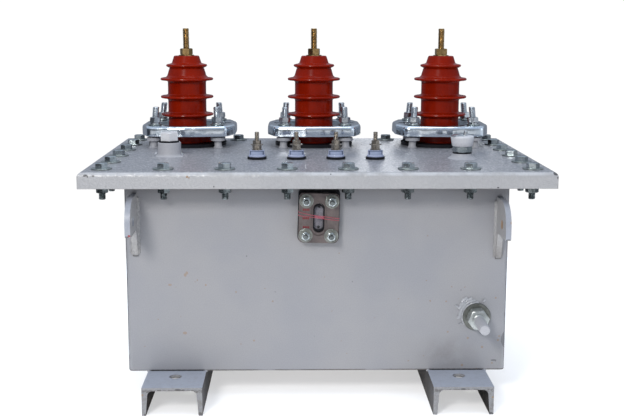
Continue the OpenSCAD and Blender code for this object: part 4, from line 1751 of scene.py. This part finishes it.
@dataclass
class Outline:
    """Plan outline of a pressed clamp: circles joined by straight sides."""

    lobes: tuple[tuple[float, float, float], ...] = ((75, 30, 16), (68, 68, 11.5), (16, 62, 25))
    count: int = 168

    def circles(self) -> list[tuple[float, float, float]]:
        """All the circles, counter-clockwise.

        Returns:
            Triples of x, y and radius.
        """
        quarter = list(self.lobes)
        turned = [(-x, y, r) for x, y, r in reversed(quarter)]
        below = [(-x, -y, r) for x, y, r in quarter]
        last = [(x, -y, r) for x, y, r in reversed(quarter)]
        return quarter + turned + below + last

    def points(self, inset: float, steps: int = 9) -> np.ndarray:
        """Outline drawn in by a distance, with evenly spaced points.

        Args:
            inset: Distance inside the outline.
            steps: Steps on each corner before the points are spread.

        Returns:
            An array of plan points.
        """
        ring = self.circles()
        size = len(ring)

        def side(i: int) -> float:
            """Angle of the side from one circle to the next.

            Args:
                i: Number of the first circle.

            Returns:
                The angle of its normal in radians.
            """
            (ax, ay, ar), (bx, by, br) = ring[i % size], ring[(i + 1) % size]
            dx, dy = bx - ax, by - ay
            return math.atan2(dy, dx) - math.acos((ar - br) / math.hypot(dx, dy))

        rough = []
        for i, (x, y, r) in enumerate(ring):
            start = side(i - 1)
            swing = (side(i) - start) % math.tau
            for k in range(steps + 1):
                a = start + swing * k / steps
                rough.append((x + (r - inset) * math.cos(a), y + (r - inset) * math.sin(a)))
        path = np.array(rough + rough[:1])
        lengths = np.concatenate([[0], np.cumsum(np.hypot(*np.diff(path, axis=0).T))])
        spread = np.linspace(0, lengths[-1], self.count, endpoint=False)
        return np.stack([np.interp(spread, lengths, path[:, i]) for i in range(2)], axis=1)


@dataclass
class Clamps(Assembly):
    """Pressed and dished clamp plates that hold the bushings down."""

    outline: Outline = field(default_factory=Outline)
    depth: float = 20.0
    thick: float = 4.0
    dish: float = 11.0
    dish_radius: float = 66.0
    hole: float = 43.0
    spare_hole: float = 6.5
    spare_out: float = 74.0
    strays: tuple[float, ...] = (5.5, 0.3, -0.8)
    wobble: float = 0.55

    def build(self) -> None:
        """Makes the three clamps as one piece each."""
        for i, side in enumerate(SIDES):
            node = f"hv_clamp_{side}"
            top = box_of(node)[1].z
            centre = centre_of(node) + Vector((self.strays[i], 0, 0))
            form = self._shell(top, i).placed(Matrix.Translation((centre.x, centre.y, 0)))
            coats = (CLAMP_ZINC, DISH_SHADE)
            piece = self.keep(f"clamp_plate_{side}", form, Slot.ZINC_BRIGHT, coats, (node,), 50.0)
            self._drill(piece, centre, top)

    def _row(self, inset: float, z: float, wobble: float, seed: int) -> list[Point]:
        """One ring of the plate at an inset from its outline.

        Args:
            inset: Distance inside the outline.
            z: Height.
            wobble: How far the pressing strays, in millimetres.
            seed: Number of the clamp.

        Returns:
            The ring's points.
        """
        ring = []
        for x, y in self.outline.points(inset):
            stray = noise.noise(Vector((x / 17 + seed * 9.1, y / 17, z / 24)))
            fine = noise.noise(Vector((x / 6.5, y / 6.5 + seed * 5.3, z / 30)))
            push = 1 + wobble * (stray * 1.3 + fine * 0.5) / math.hypot(x, y)
            ring.append((x * push, y * push, z + wobble * 0.5 * stray))
        return ring

    def _blend_row(self, radius: float, z: float) -> list[Point]:
        """One round ring inside the plate, with points along the same rays."""
        ring = [(x, y, math.hypot(x, y)) for x, y in self.outline.points(0)]
        return [(x * radius / far, y * radius / far, z) for x, y, far in ring]

    def _shell(self, top: float, seed: int) -> Form:
        """The closed skin of one plate, about its own axis.

        Args:
            top: Height of the plate's top.
            seed: Number of the clamp.

        Returns:
            The skin, with the dish in its second finish, a dark metal laid there as painted shade.
        """
        t, r, z = self.thick, self.dish_radius, top - 0.5
        low, foot = z - self.dish, z - self.depth
        soft = self.wobble * 0.7
        outside = [(0.7, foot + 0.5), (0.3, foot + 2), (0.2, z - 14), (0.2, z - 9), (0.3, z - 6)]
        bend = [
            (5.6 - 5.3 * math.cos(a), z - 5.3 + 5.3 * math.sin(a)) for a in (0.35, 0.7, 1.05, 1.35)
        ]
        dished = [
            (r + 1, z), (r - 0.5, z - 0.4), (r - 2, z - 1.6), (r - 5, low + t + 2.6),
            (r - 7, low + t + 0.8), (r - 9.5, low + t),
            (self.hole + 0.8, low + t), (self.hole, low + t - 0.7), (self.hole, low + 0.2),
            (r - 10, low), (r - 5, z - t - 1.4),
        ]
        inside = [
            (t + 3.5, z - t), (t + 1.2, z - t - 1.1), (t + 0.4, z - t - 3.5), (t - 0.2, foot + 0.6)
        ]
        rings = [self._row(inset, h, self.wobble, seed) for inset, h in outside]
        rings += [self._row(inset, h, soft, seed) for inset, h in bend]
        rings += [self._blend_row(radius, h) for radius, h in dished]
        rings += [self._row(inset, h, soft, seed) for inset, h in inside]
        form = Form().rings(rings, loop=True)
        # Faces inside the dish take the dark metal as painted shade.
        for i, face in enumerate(form.faces):
            middle = sum((form.points[k] for k in face), Vector()) / len(face)
            if math.hypot(middle.x, middle.y) < r - 0.2 and middle.z < top - 0.8:
                form.paints[i] = 1
        return form

    def _drill(self, piece: bpy.types.Object, centre: Vector, top: float) -> None:
        """Cuts the two spare holes through a plate.

        Args:
            piece: The plate.
            centre: Its middle.
            top: Height of its top.
        """
        drill = lathe([(self.spare_hole, -14), (self.spare_hole, 6)], 32)
        form = Form()
        for out in (-self.spare_out, self.spare_out):
            form.add(drill, Matrix.Translation((centre.x + out, centre.y, top)))
        cut_out(piece, form)


@dataclass
class Bushings(Assembly):
    """High voltage bushings with their studs, nuts and brass terminals."""

    collar_low: float = 13.0
    collar_high: float = 20.0
    clamp_top: float = 43.0
    stud_radius: float = 6.4
    stud_half: float = 59.0
    stud_feet: tuple[tuple[float, float], ...] = ((-61, 64), (-60, 61), (-60, 62.5))
    stud_tips: tuple[tuple[float, float, float, float], ...] = (
        (-54.5, 61.5, 58, -52), (-56, 57.5, 57, -55), (-56, 54, 56, -53)
    )
    terminal_flats: float = 21.5
    terminal_lean: tuple[float, ...] = (-0.012, 0.0, 0.004)

    def build(self) -> None:
        """Dresses the bushings and makes studs and terminals."""
        for i, side in enumerate(SIDES):
            self.finishes.dress(BUSHING_RESIN, f"hv_bushing_{side}")
            self._studs(side, i)
            self._terminal(side, i)

    def _studs(self, side: str, number: int) -> None:
        """Makes the four clamp studs of one bushing.

        Args:
            side: The bushing's place in the row.
            number: Its number.
        """
        node = f"hv_studs_{side}"
        low, high = box_of(node)
        centre = centre_of(node)
        form = Form()
        tall = high.z - low.z
        for k, (sx, sy) in enumerate(((-1, -1), (1, -1), (1, 1), (-1, 1))):
            foot, tip = self.stud_feet[number][sx > 0], self.stud_tips[number][k]
            turn = Matrix.Rotation(0.9 * k + 1.7 * number, 4, "Z")
            slant = (tip - foot) / tall
            lean = Matrix(((1, 0, slant, 0), (0, 1, 0, 0), (0, 0, 1, 0), (0, 0, 0, 1)))
            place = Matrix.Translation((centre.x + foot, centre.y + sy * self.stud_half, low.z))
            form.add(self._stud(tall), place @ lean @ turn)
        coats = (FITTING_PAINT, STUD_ZINC, WASHER_ZINC)
        self.keep(f"clamp_studs_{side}", form, Slot.ZINC_DULL, coats, (node,), 38.0)

    def _stud(self, tall: float) -> Form:
        """One stud standing on z = 0, with collar, washers and nut.

        Args:
            tall: Its height.

        Returns:
            The stud, with its weld and washer in finishes of their own.
        """
        r, top, low, high = self.stud_radius, self.clamp_top, self.collar_low, self.collar_high
        shank = [
            (r + 3.2, 0), (r + 1.4, 1.6), (r + 0.7, 3.6), (r + 0.5, low), (14, low + 0.5),
            (14, high - 0.6),
            (13.4, high), (r, high), (r - 0.5, top - 3),
        ]
        plain = [
            (6.6, top), (12.7, top), (13, top + 0.4), (13, top + 2.1), (12.6, top + 2.5),
            (6.6, top + 2.5),
        ]
        form = lathe(shank).add(lathe(plain, loop=True).painted(2))
        spring, nut = spring_ring(9.5, 6.3, 2.8), hexagon(19, 0, 10, bore=5.7)
        screw = thread(r, 2.5, -6, tall - top, 22, 8)
        for part, base in ((spring, top + 2.5), (nut, top + 5.5), (screw, top)):
            form.add(part.painted(1), lifted(base))
        return form

    def _terminal(self, side: str, number: int) -> None:
        """Makes the brass stud, nut and washer of one bushing.

        Args:
            side: The bushing's place in the row.
            number: Its number.
        """
        node = f"hv_terminal_{side}"
        centre, high = centre_of(node), box_of(node)[1]
        seat = box_of(f"hv_bushing_{side}")[1].z
        nut = hexagon(self.terminal_flats, seat + 1.8, seat + 14.2, bore=5.6)
        form = washer(15, 6.2, 1.7).placed(lifted(seat))
        form.add(nut, Matrix.Rotation(0.5 + number * 0.35, 4, "Z"))
        form.add(thread(6.3, 2.5, seat - 8, high.z, 26, 8))
        lean = Matrix.Rotation(self.terminal_lean[number], 4, "Y")
        place = Matrix.Translation((centre.x, centre.y, seat)) @ lean @ lifted(-seat)
        self.keep(f"line_terminal_{side}", form.placed(place), Slot.BRASS, (BRASS,), (node,), 38.0)


@dataclass
class SecondaryRow(Assembly):
    """The four small terminals with their insulators and blank labels."""

    count: int = 4
    base_tall: float = 12.0

    def build(self) -> None:
        """Makes the insulators and terminals."""
        for i in range(1, self.count + 1):
            self._insulator(i)
            self._terminal(i)

    def _insulator(self, number: int) -> None:
        """Makes one insulator with a blank pad on its front.

        Args:
            number: Its number in the row.
        """
        node = f"lv_insulator_{number}"
        low, high = box_of(node)
        centre = centre_of(node)
        top, seat = high.z, high.z - self.base_tall
        profile = [
            (6.5, low.z), (6.9, seat), (14.6, seat), (15.2, seat + 0.5), (15.3, seat + 1.6),
            (14.7, seat + 3.2), (13.6, seat + 3.8),
            (13.2, seat + 5), (13.2, top - 1), (12.7, top - 0.3), (12.0, top), (4.2, top),
        ]
        form = lathe(profile, 48)
        form.add(self._patch((13.05, 13.45), (seat + 3.2, top - 0.6), 62).painted(1))
        form.add(self._patch((13.3, 13.6), (seat + 4.5, top - 1.7), 50).painted(2))
        placed = form.placed(Matrix.Translation((centre.x, centre.y, 0)))
        coats = (TERMINAL_RESIN, LABEL_EDGE, LABEL_FILM)
        self.keep(f"terminal_base_{number}", placed, Slot.RESIN, coats, (node,), 40.0)

    @staticmethod
    def _patch(radii: tuple[float, float], heights: tuple[float, float], half: float) -> Form:
        """A curved patch on the front of a cylinder.

        Args:
            radii: Its inner and outer radius.
            heights: Heights of its lower and upper edge.
            half: Its reach to each side in degrees.

        Returns:
            The patch.
        """
        (inner, outer), (low, high) = radii, heights
        corners = ((inner, low), (outer, low), (outer, high), (inner, high))
        rows = []
        for a in (math.radians(-90 - half + 2 * half * i / 12) for i in range(13)):
            rows.append([(r * math.cos(a), r * math.sin(a), z) for r, z in corners])
        return Form().rings(rows)

    def _terminal(self, number: int) -> None:
        """Makes one stud with its nuts and washers.

        Args:
            number: Its number in the row.
        """
        node = f"lv_terminal_{number}"
        centre, high = centre_of(node), box_of(node)[1]
        seat = box_of(f"lv_insulator_{number}")[1].z
        up = Matrix.Translation((centre.x, centre.y, seat))
        form = Form()
        turns = [Matrix.Rotation(a, 4, "Z") for a in (0.55 * number, 0.35 + 0.45 * number)]
        form.add(washer(9.4, 4.2, 1.8, 0.3, 32), up)
        form.add(hexagon(14, 2.0, 9.0, bore=3.9), up @ turns[0])
        form.add(washer(11.2, 4.2, 1.5, 0.3, 32), up @ lifted(9.0))
        form.add(hexagon(13, 10.6, 17.4, bore=3.9), up @ turns[1])
        form.add(thread(4.0, 1.25, -2, high.z - seat, 20, 5), up)
        self.keep(f"secondary_stud_{number}", form, Slot.NICKEL, (NICKEL,), (node,), 38.0)


@dataclass
class OilFittings(Assembly):
    """Filler, breather and drain."""

    drain_bead: Bead = Bead(3.6, 2.8, 2.0)

    def build(self) -> None:
        """Makes the three fittings."""
        self._filler()
        self._breather()
        self._drain()

    def _filler(self) -> None:
        """Makes the filler neck with its weld and its painted plug."""
        low, high = box_of("filler_neck")
        centre = centre_of("filler_neck")
        place = Matrix.Translation((centre.x, centre.y, 0))
        r, z, end = (high.x - low.x) / 2, low.z, high.z
        neck = [
            (15, z), (r + 4.6, z), (r + 3.2, z + 0.9), (r + 1.2, z + 1.9), (r + 0.3, z + 3.6),
            (r, z + 5.5),
            (r, end - 0.8), (r - 0.8, end), (16, end),
        ]
        pipe = lathe(neck, 64, loop=True).placed(place)
        self.keep("filler_pipe", pipe, Slot.PAINT, (FITTING_PAINT,), ("filler_neck",), 40.0)
        top = box_of("filler_plug")[1].z
        seal = [
            (14, end - 0.2), (17.0, end - 0.2), (17.5, end + 0.8), (17.3, end + 2.8),
            (16.4, end + 3.3), (14, end + 3.3),
        ]
        cap = hexagon(30, end + 3, top, both=False).placed(place @ Matrix.Rotation(0.14, 4, "Z"))
        cap.add(lathe([(15.5, end - 6), (15.5, end + 3.2)], 40), place)
        cap.add(lathe(seal, loop=True).painted(1), place)
        self.keep("filler_cap", cap, Slot.PAINT, (CAP_PAINT, RUBBER), ("filler_plug",), 30.0)

    def _breather(self) -> None:
        """Makes the breather neck with its flared weld, nut, cap and vent screw."""
        low, high = box_of("breather_neck")
        centre = centre_of("breather_neck")
        place = Matrix.Translation((centre.x, centre.y, 0))
        z = low.z
        flare = [
            (9, z), (26, z), (24.5, z + 0.9), (21.5, z + 2.4), (19.2, z + 4.6), (18.2, z + 7.0),
            (18, high.z), (9, high.z),
        ]
        boss = lathe(flare, 64, loop=True).placed(place)
        self.keep("breather_boss", boss, Slot.PAINT, (FITTING_PAINT,), ("breather_neck",), 50.0)
        nut_low, nut_high = box_of("breather_nut")
        nut = hexagon(30, nut_high.z - 11, nut_high.z).placed(place @ Matrix.Rotation(0.38, 4, "Z"))
        nut.add(lathe([(8, nut_low.z), (8, nut_high.z - 10)], 24), place)
        self.keep("breather_hex", nut, Slot.ZINC_DULL, (BOLT_ZINC,), ("breather_nut",), 30.0)
        cap_low, cap_high = box_of("breather_cap")
        z, top = cap_low.z, cap_high.z
        cap = [
            (3, z), (17.4, z), (18.4, z + 1.0), (19.4, z + 7), (20.7, z + 14.6), (20.4, z + 16.6),
            (19.0, top - 0.6),
            (17.0, top), (3, top - 0.1),
        ]
        lid = lathe(cap, 56).placed(place)
        self.keep("breather_lid", lid, Slot.PAINT, (CAP_PAINT,), ("breather_cap",), 45.0)
        screw = lathe([(3.4, 0), (3.4, 9.0), (2.4, 10.0), (0.6, 10.2)], 20)
        tab = lathe([(11.5, 0), (11.8, 0.5), (11.2, 1.6), (5.0, 3.2), (0.8, 3.4)], 32)
        vent = Form()
        for part, spot, lean in (
            (screw, (3, -6, top - 0.5), 0.2), (tab, (-9, -4, top - 0.3), -0.06)
        ):
            vent.add(part, place @ Matrix.Translation(spot) @ Matrix.Rotation(lean, 4, "Y"))
        self.keep("breather_vent", vent, Slot.ZINC_DULL, (STUD_ZINC,), (), 40.0)

    def _drain(self) -> None:
        """Makes the drain's flange, nut, collar and spout, and its weld."""
        low, high = box_of("drain_valve")
        centre = centre_of("drain_valve")
        wall, reach = high.y, high.y - low.y
        out = Matrix.Translation((centre.x, wall, centre.z)) @ Matrix.Rotation(QUARTER, 4, "X")
        flange = [(23.2, 0), (24, 0.8), (24, 5.0), (23.2, 6), (10, 6.2)]
        collar = [(10.8, 28), (11.4, 29.6), (11.0, 32.6), (9.6, 33.4), (8.9, 33.6)]
        spout = [
            (9.1, 30), (9.1, 44), (8.9, 60), (8.8, reach - 2.2), (8.0, reach - 0.5), (7.2, reach),
            (2.0, reach),
        ]
        form = lathe(flange, 48)
        form.add(hexagon(32.4, 6, 29).painted(2), Matrix.Rotation(math.radians(36), 4, "Z"))
        form.add(lathe(collar, 40).painted(2))
        form.add(lathe(spout, 40).painted(1))
        coats = (DRAIN_ZINC, FITTING_PAINT, DRAIN_NUT)
        self.keep("drain_spout", form.placed(out), Slot.ZINC_DULL, coats, ("drain_valve",), 32.0)

        def blob(angle: float, radius: float, length: float) -> list[Point]:
            """A short line round the flange.

            Args:
                angle: Where it starts, in degrees.
                radius: Its distance from the drain's axis.
                length: Its length.

            Returns:
                The line's points.
            """
            last = max(2, round(length / 4)) - 1
            line = []
            for k in range(last + 1):
                t = math.radians(angle) + length / radius * k / last
                line.append(
                    (centre.x + radius * math.cos(t), wall + 0.6, centre.z + radius * math.sin(t))
                )
            return line

        crescent = ((82, 23.5, 54), (94, 28, 44), (104, 32.5, 30), (116, 36.5, 12))
        spatter = ((178, 30, 5), (150, 38, 3), (62, 31, 3), (203, 30, 3))
        lines = [blob(*row) for row in crescent + spatter]
        self.lay_beads("drain_weld", lines, self.drain_bead, WELD_PAINT)


@dataclass
class Lugs(Assembly):
    """The lifting lugs, welded to the tank with a rough tail below each."""

    thick: float = 9.0
    out: float = 85.0
    tall: float = 103.0
    top_radius: float = 40.0
    step_up: float = 43.0
    foot_out: float = 17.0
    hole_out: float = 50.0
    hole_up: float = 64.0
    hole_radius: float = 8.0
    side_bead: Bead = Bead(3.9, 3.4, 0.9)
    tail_bead: Bead = Bead(3.3, 2.4, 2.2)

    def build(self) -> None:
        """Makes the four lugs and their weld beads."""
        lines: list[list[Point]] = []
        tails: list[list[Point]] = []
        slope = [((self.foot_out - 6) * k / 3, (self.step_up - 5) * k / 3) for k in range(4)]
        for name in ("lug_front_left", "lug_front_right", "lug_back_left", "lug_back_right"):
            low, high = box_of(name)
            end = -1 if low.y + high.y < 0 else 1
            wall = end * abs(box_of("front_wall")[0].y)
            self._plate(name, low, wall, end)
            lines += [[(x, wall, low.z), (x, wall, high.z - 7)] for x in (low.x, high.x)]
            middle = (low.x + high.x) / 2
            for x in (middle - 2.4, middle + 2.4):
                tails.append([(x, wall + end * (3 + y), low.z + 3 + z) for y, z in slope])
        self.lay_beads("lug_welds", lines, self.side_bead, LUG_FACE)
        self.lay_beads("lug_tails", tails, self.tail_bead, LUG_FACE)

    def _profile(self) -> list[tuple[float, float]]:
        """Side outline of a lug.

        Returns:
            Pairs of distance from the wall and height.
        """
        r, foot, step, out = self.top_radius, self.foot_out, self.step_up, self.out
        tail = [
            (0.0, -5.0), (2.5, -4.4), (5.0, -1.0), (8.0, 8.0), (foot - 3, 28.0), (foot, step - 2),
            (foot + 2, step),
        ]
        nose = [(out - 5, step), (out - 1.5, step + 1.5), (out, step + 5)]
        angles = [math.radians(90 * k / 14) for k in range(15)]
        arc = [(out - r + r * math.cos(a), self.tall - r + r * math.sin(a)) for a in angles]
        return tail + nose + arc + [(0.0, self.tall)]

    def _plate(self, name: str, low: Vector, wall: float, end: int) -> None:
        """Makes one lug plate with its hole and softened edges.

        Args:
            name: The CAD node that it stands for.
            low: The node's lowest corner.
            wall: Y of the wall that carries it.
            end: -1 for the front wall, 1 for the back wall.
        """
        outline = self._profile()
        rows = [
            [(low.x + x, wall + end * y, low.z + z) for y, z in outline] for x in (0.0, self.thick)
        ]
        plate = Form().rings(rows).painted(1)
        # Edge faces above the step take the bluer enamel as painted sky light; the sides and tail
        # keep the other copy.
        for i, face in enumerate(plate.faces):
            corners = [plate.points[k] for k in face]
            across = len({round(p.x, 3) for p in corners}) > 1
            if across and max(p.z for p in corners) > low.z + self.step_up + 1:
                plate.paints[i] = 0
        coats = (LUG_PAINT, LUG_FACE)
        piece = self.keep(name.replace("lug", "lift_lug"), plate, Slot.PAINT, coats, (name,))
        middle = Matrix.Translation((low.x, wall + end * self.hole_out, low.z + self.hole_up))
        drill = lathe([(self.hole_radius, -8), (self.hole_radius, self.thick + 8)], 40)
        cut_out(piece, drill.placed(middle @ Matrix.Rotation(QUARTER, 4, "Y")))


@dataclass
class Gauge(Assembly):
    """Level gauge: frame, glass, plate, studs, ticks and the red thread."""

    half_x: float = 21.5
    half_z: float = 29.25
    lean: float = 1.5
    deep: float = 17.0
    thread_edge: float = 33.9
    thread_back: float = 4.6

    def build(self) -> None:
        """Dresses the gauge's nodes and adds its small parts."""
        give = self.finishes.dress
        give(RUBBER, "gauge_gasket")
        give(GAUGE_IRON, "gauge_frame")
        give(PLATE_METAL, "gauge_plate")
        give(SIGHT_GLASS, "gauge_glass")
        self._studs()
        self._ticks()
        self._sleeve()
        self._thread()

    @property
    def on_wall(self) -> Matrix:
        """Place of the gauge, with its depth along Z."""
        centre, wall = centre_of("gauge_plate"), box_of("front_wall")[0].y
        turn = Matrix.Rotation(math.radians(self.lean), 4, "Y") @ Matrix.Rotation(QUARTER, 4, "X")
        return Matrix.Translation((centre.x, wall, centre.z)) @ turn

    def _studs(self) -> None:
        """Makes the four studs with cupped washers and nuts."""
        reach = box_of("front_wall")[0].y - box_of("gauge_studs")[0].y
        d = self.deep
        cup = [
            (4.4, d), (11.6, d), (12.0, d + 0.5), (11.9, d + 1.7), (11.3, d + 2.1), (10.2, d + 1.9),
            (9.2, d + 1.1), (8.2, d + 1.2), (7.6, d + 2.0), (4.4, d + 2.2),
        ]
        tip = [(4.0, d + 9.6), (4.1, d + 12), (4.0, reach - 1.2), (3.2, reach), (1.2, reach)]
        stud = lathe(cup, 40, loop=True).painted(1)
        stud.add(hexagon(13, d + 2.0, d + 10.0, bore=3.9))
        stud.add(thread(4.0, 1.25, d - 8, reach - 2.5, 18, 5))
        stud.add(lathe(tip, 24).painted(2))
        form = Form()
        for k, (sx, sz) in enumerate(((-1, -1), (1, -1), (-1, 1), (1, 1))):
            corner = Matrix.Translation((sx * self.half_x, sz * self.half_z, 0))
            form.add(stud, self.on_wall @ corner @ Matrix.Rotation(0.8 * k, 4, "Z"))
        coats = (BOLT_ZINC, GAUGE_ZINC, RIM_ZINC)
        self.keep("gauge_fixings", form, Slot.ZINC_DULL, coats, ("gauge_studs",), 38.0)

    def _sleeve(self) -> None:
        """Lines the slot with a thin black seal."""
        low, high = box_of("gauge_glass")
        half = (high.z - low.z) / 2 - 12.6
        angles = [math.tau * (k + 0.5) / 40 for k in range(40)]
        turns = [(math.cos(a), math.sin(a)) for a in angles]
        rings = []
        for r, z in ((9.8, 5.1), (9.8, 13.9), (7.9, 13.9), (7.9, 5.1)):
            rings.append([(r * x, r * y + math.copysign(half, y), z) for x, y in turns])
        seal = Form().rings(rings, loop=True).placed(self.on_wall)
        self.keep("gauge_slot_seal", seal, Slot.RUBBER, (RUBBER,))

    def _ticks(self) -> None:
        """Adds three plain painted level ticks and the plate's two screws."""
        ticks = Form()
        back, front = self.deep - 0.05, self.deep + 0.14
        for x, z in ((-21.6, 14.0), (-21.8, -0.4), (-21.0, -15.4)):
            ticks.add(box_form((x - 5.5, z - 0.6, back), (x + 5.5, z + 0.6, front)))
            for left in (x - 4.6 + 3.07 * k - 0.85 for k in range(4)):
                ticks.add(box_form((left, z - 2.0, back), (left + 1.7, z + 2.0, front + 0.04)))
        self.keep("gauge_ticks", ticks.placed(self.on_wall), Slot.DARK_METAL, (TICK_PAINT,))
        screws = Form()
        for z in (-16.5, 18.5):
            head = lathe([(2.4, 6.9), (2.3, 7.5), (1.4, 7.8), (0.4, 7.8)], 20)
            screws.add(head, Matrix.Translation((0, z, 0)))
        self.keep(
            "gauge_plate_screws", screws.placed(self.on_wall), Slot.DARK_METAL, (DARK_RUBBER,)
        )

    def _thread(self) -> None:
        """Winds the red thread twice round the frame."""
        form = Form()
        edge, back, front = self.thread_edge, self.thread_back, self.deep + 0.5
        upper = ((-22, 7.4), (-11, 5.0), (0, 4.1), (6, 3.7), (20, 1.9))
        lower = ((-22, 2.7), (-9.5, 1.4), (0, 0.3), (10.5, -0.9), (22, -2.0))
        for lift, left, right, inside in ((0.25, 9.6, 0.4, upper), (0.0, 3.8, -2.8, lower)):
            z = front + lift
            path = [
                (-edge, left + 0.6, back), (-edge, left + 0.4, back + 6),
                (-edge, left + 0.2, front - 0.6),
            ]
            path += [
                (-edge + 0.8, left, z), *((x, y, z) for x, y in inside), (edge - 0.8, right, z)
            ]
            path += [
                (edge, right - 0.2, front - 0.6), (edge, right - 0.4, back + 6),
                (edge, right - 0.6, back),
            ]
            form.add(tube(smooth_path(path), 0.5))
        knot = [(-7, 3.6, front), (-2, 2.4, front + 0.1), (3, 2.2, front + 0.1), (9, 0.8, front)]
        form.add(tube(smooth_path(knot), 0.85))
        self.keep("gauge_thread", form.placed(self.on_wall), Slot.DARK_METAL, (THREAD,), (), 80.0)


def smooth_path(points: Sequence[Point], steps: int = 4) -> list[Point]:
    """Rounds a path between its points by an even spline.

    Args:
        points: The path's points.
        steps: Points of the result for each point of the path.

    Returns:
        The rounded path.
    """
    knots = [np.array(p, float) for p in points]
    knots = [2 * knots[0] - knots[1]] + knots + [2 * knots[-1] - knots[-2]]
    out = []
    for p0, p1, p2, p3 in zip(knots, knots[1:], knots[2:], knots[3:]):
        for t in (k / steps for k in range(steps)):
            linear, square = p2 - p0, 2 * p0 - 5 * p1 + 4 * p2 - p3
            cubic = 3 * p1 - p0 - 3 * p2 + p3
            out.append(tuple(0.5 * (2 * p1 + linear * t + square * t**2 + cubic * t**3)))
    out.append(tuple(knots[-2]))
    return out


# ---------------------------------------------------------------- studio


@dataclass
class Studio:
    """Pale floor, soft light and the camera."""

    camera_place: Point = (-39.3, -1996.7, 642.2)
    pitch: float = 9.8
    yaw: float = 0.945
    roll: float = 0.086
    lens: float = 62.43

    def build(self) -> None:
        """Makes the floor, the lights, the sky and the camera."""
        floor = self._floor()
        self._sky()
        self._light("key", (-900, -2300, 1560), (0, 0, 250), 520, 32.8, (1.0, 0.985, 0.955))
        self._light("side", (2300, -1300, 900), (0, 0, 300), 900, 1.8, (0.72, 0.86, 1.0))
        self._light("top", (100, -100, 2700), (0, 0, 300), 1500, 14.4, (0.88, 0.94, 1.0))
        glare = self._light(
            "glare", (420, 2700, 1000), (150, -100, COVER_TOP_Z), 650, 2.6, (0.95, 0.97, 1.0)
        )
        glare.light_linking.receiver_collection = self._only(frame["nodes"]["cover"])
        wash = self._light("wash", (0, -100, 3200), (0, 0, 0), 3600, 112.0, (1.0, 1.0, 1.0))
        wash.light_linking.receiver_collection = self._only(floor)
        wash.light_linking.blocker_collection = wash.light_linking.receiver_collection
        self._camera()
        view = bpy.context.scene.view_settings
        view.view_transform = "Standard"
        view.look = "None"

    @staticmethod
    def _only(thing: bpy.types.Object) -> bpy.types.Collection:
        """A collection of one object, for a light that reaches nothing else.

        Args:
            thing: The object.

        Returns:
            The collection.
        """
        group = bpy.data.collections.new(f"{thing.name}_only")
        group.objects.link(thing)
        return group

    @staticmethod
    def _floor() -> bpy.types.Object:
        """Makes a wide level floor, whose own colour barely varies.

        Returns:
            The floor.
        """
        low, high = Vector(CAD_BOX[0]), Vector(CAD_BOX[1])
        wide = (high - low).length * 0.80 / MM
        mesh = box_form((-wide, -wide, -12), (wide, wide, 0)).mesh("floor", [], 30.0)
        material, s = new_shader("floor_paper")
        colour = s.mix(s.noise(500, 2), (0.88, 0.88, 0.885), (0.90, 0.90, 0.902))
        s.surface(Base_Color=colour, Roughness=0.9)
        mesh.materials.append(material)
        floor = bpy.data.objects.new("floor", mesh)
        bpy.context.scene.collection.objects.link(floor)
        return floor

    @staticmethod
    def _sky() -> None:
        """A soft sky over darker surroundings, white to the camera."""
        world = bpy.data.worlds.new("sky")
        bpy.context.scene.world = world
        world.use_nodes = True
        s = Shader(world.node_tree)
        towards = s.node("ShaderNodeTexCoord", out="Generated")
        x, y, z = s.split(towards)
        around = s.mix(x.ease(-0.62, -0.15), (0.03, 0.035, 0.045), (0.22, 0.225, 0.24))
        around = s.mix(x.ease(0.45, 0.70) * y.ease(0.1, -0.2), around, (0.74, 0.78, 0.84))
        around = s.mix(y.ease(-0.2, 0.5), around, (0.20, 0.22, 0.26))
        ahead = y.ease(-0.75, -0.92) * z.ease(0.02, -0.04) * z.ease(-0.40, -0.30)
        around = s.mix(ahead, around, (0.78, 0.79, 0.81))
        colour = s.mix(z.ease(0.12, 0.42), around, (0.50, 0.57, 0.68))
        seen = s.node("ShaderNodeLightPath", out="Is Camera Ray")
        colour = s.mix(seen, colour, (1.02, 1.02, 1.02))
        shade = s.node("ShaderNodeBackground", None, {0: colour, 1: 1.0})
        s.node("ShaderNodeOutputWorld", None, {0: shade})

    @staticmethod
    def _light(
        name: str, place: Point, target: Point, size: float, power: float, colour: Colour
    ) -> bpy.types.Object:
        """Adds a square soft light.

        Args:
            name: Its name.
            place: Its middle, in millimetres.
            target: The point that it faces.
            size: Length of its side, in millimetres.
            power: Its power in watts.
            colour: Its colour.

        Returns:
            The light.
        """
        data = bpy.data.lights.new(name, "AREA")
        data.size, data.energy, data.color = size * MM, power, colour
        lamp = bpy.data.objects.new(name, data)
        lamp.location = Vector(place) * MM
        facing = (Vector(target) - Vector(place)).to_track_quat("-Z", "Y")
        lamp.rotation_euler = facing.to_euler()
        bpy.context.scene.collection.objects.link(lamp)
        return lamp

    def _camera(self) -> None:
        """Sets the camera."""
        data = bpy.data.cameras.new("camera")
        data.lens, data.sensor_width, data.sensor_fit = self.lens, 36.0, "HORIZONTAL"
        data.clip_end = 100.0
        camera = bpy.data.objects.new("camera", data)
        camera.location = Vector(self.camera_place) * MM
        turns = (90 - self.pitch, -self.roll, -self.yaw)
        camera.rotation_euler = [math.radians(turn) for turn in turns]
        bpy.context.scene.collection.objects.link(camera)
        bpy.context.scene.camera = camera


def main() -> None:
    """Builds every sub-assembly in order."""
    logging.basicConfig(level=logging.INFO, format="%(message)s")
    finishes = Finishes()
    for maker in (Steelwork, CoverBolts, Clamps, Bushings, SecondaryRow, OilFittings, Lugs, Gauge):
        LOG.info("building %s", maker.__name__)
        maker(finishes).build()
    LOG.info("building Studio")
    Studio().build()


if __name__ == "__main__":
    main()
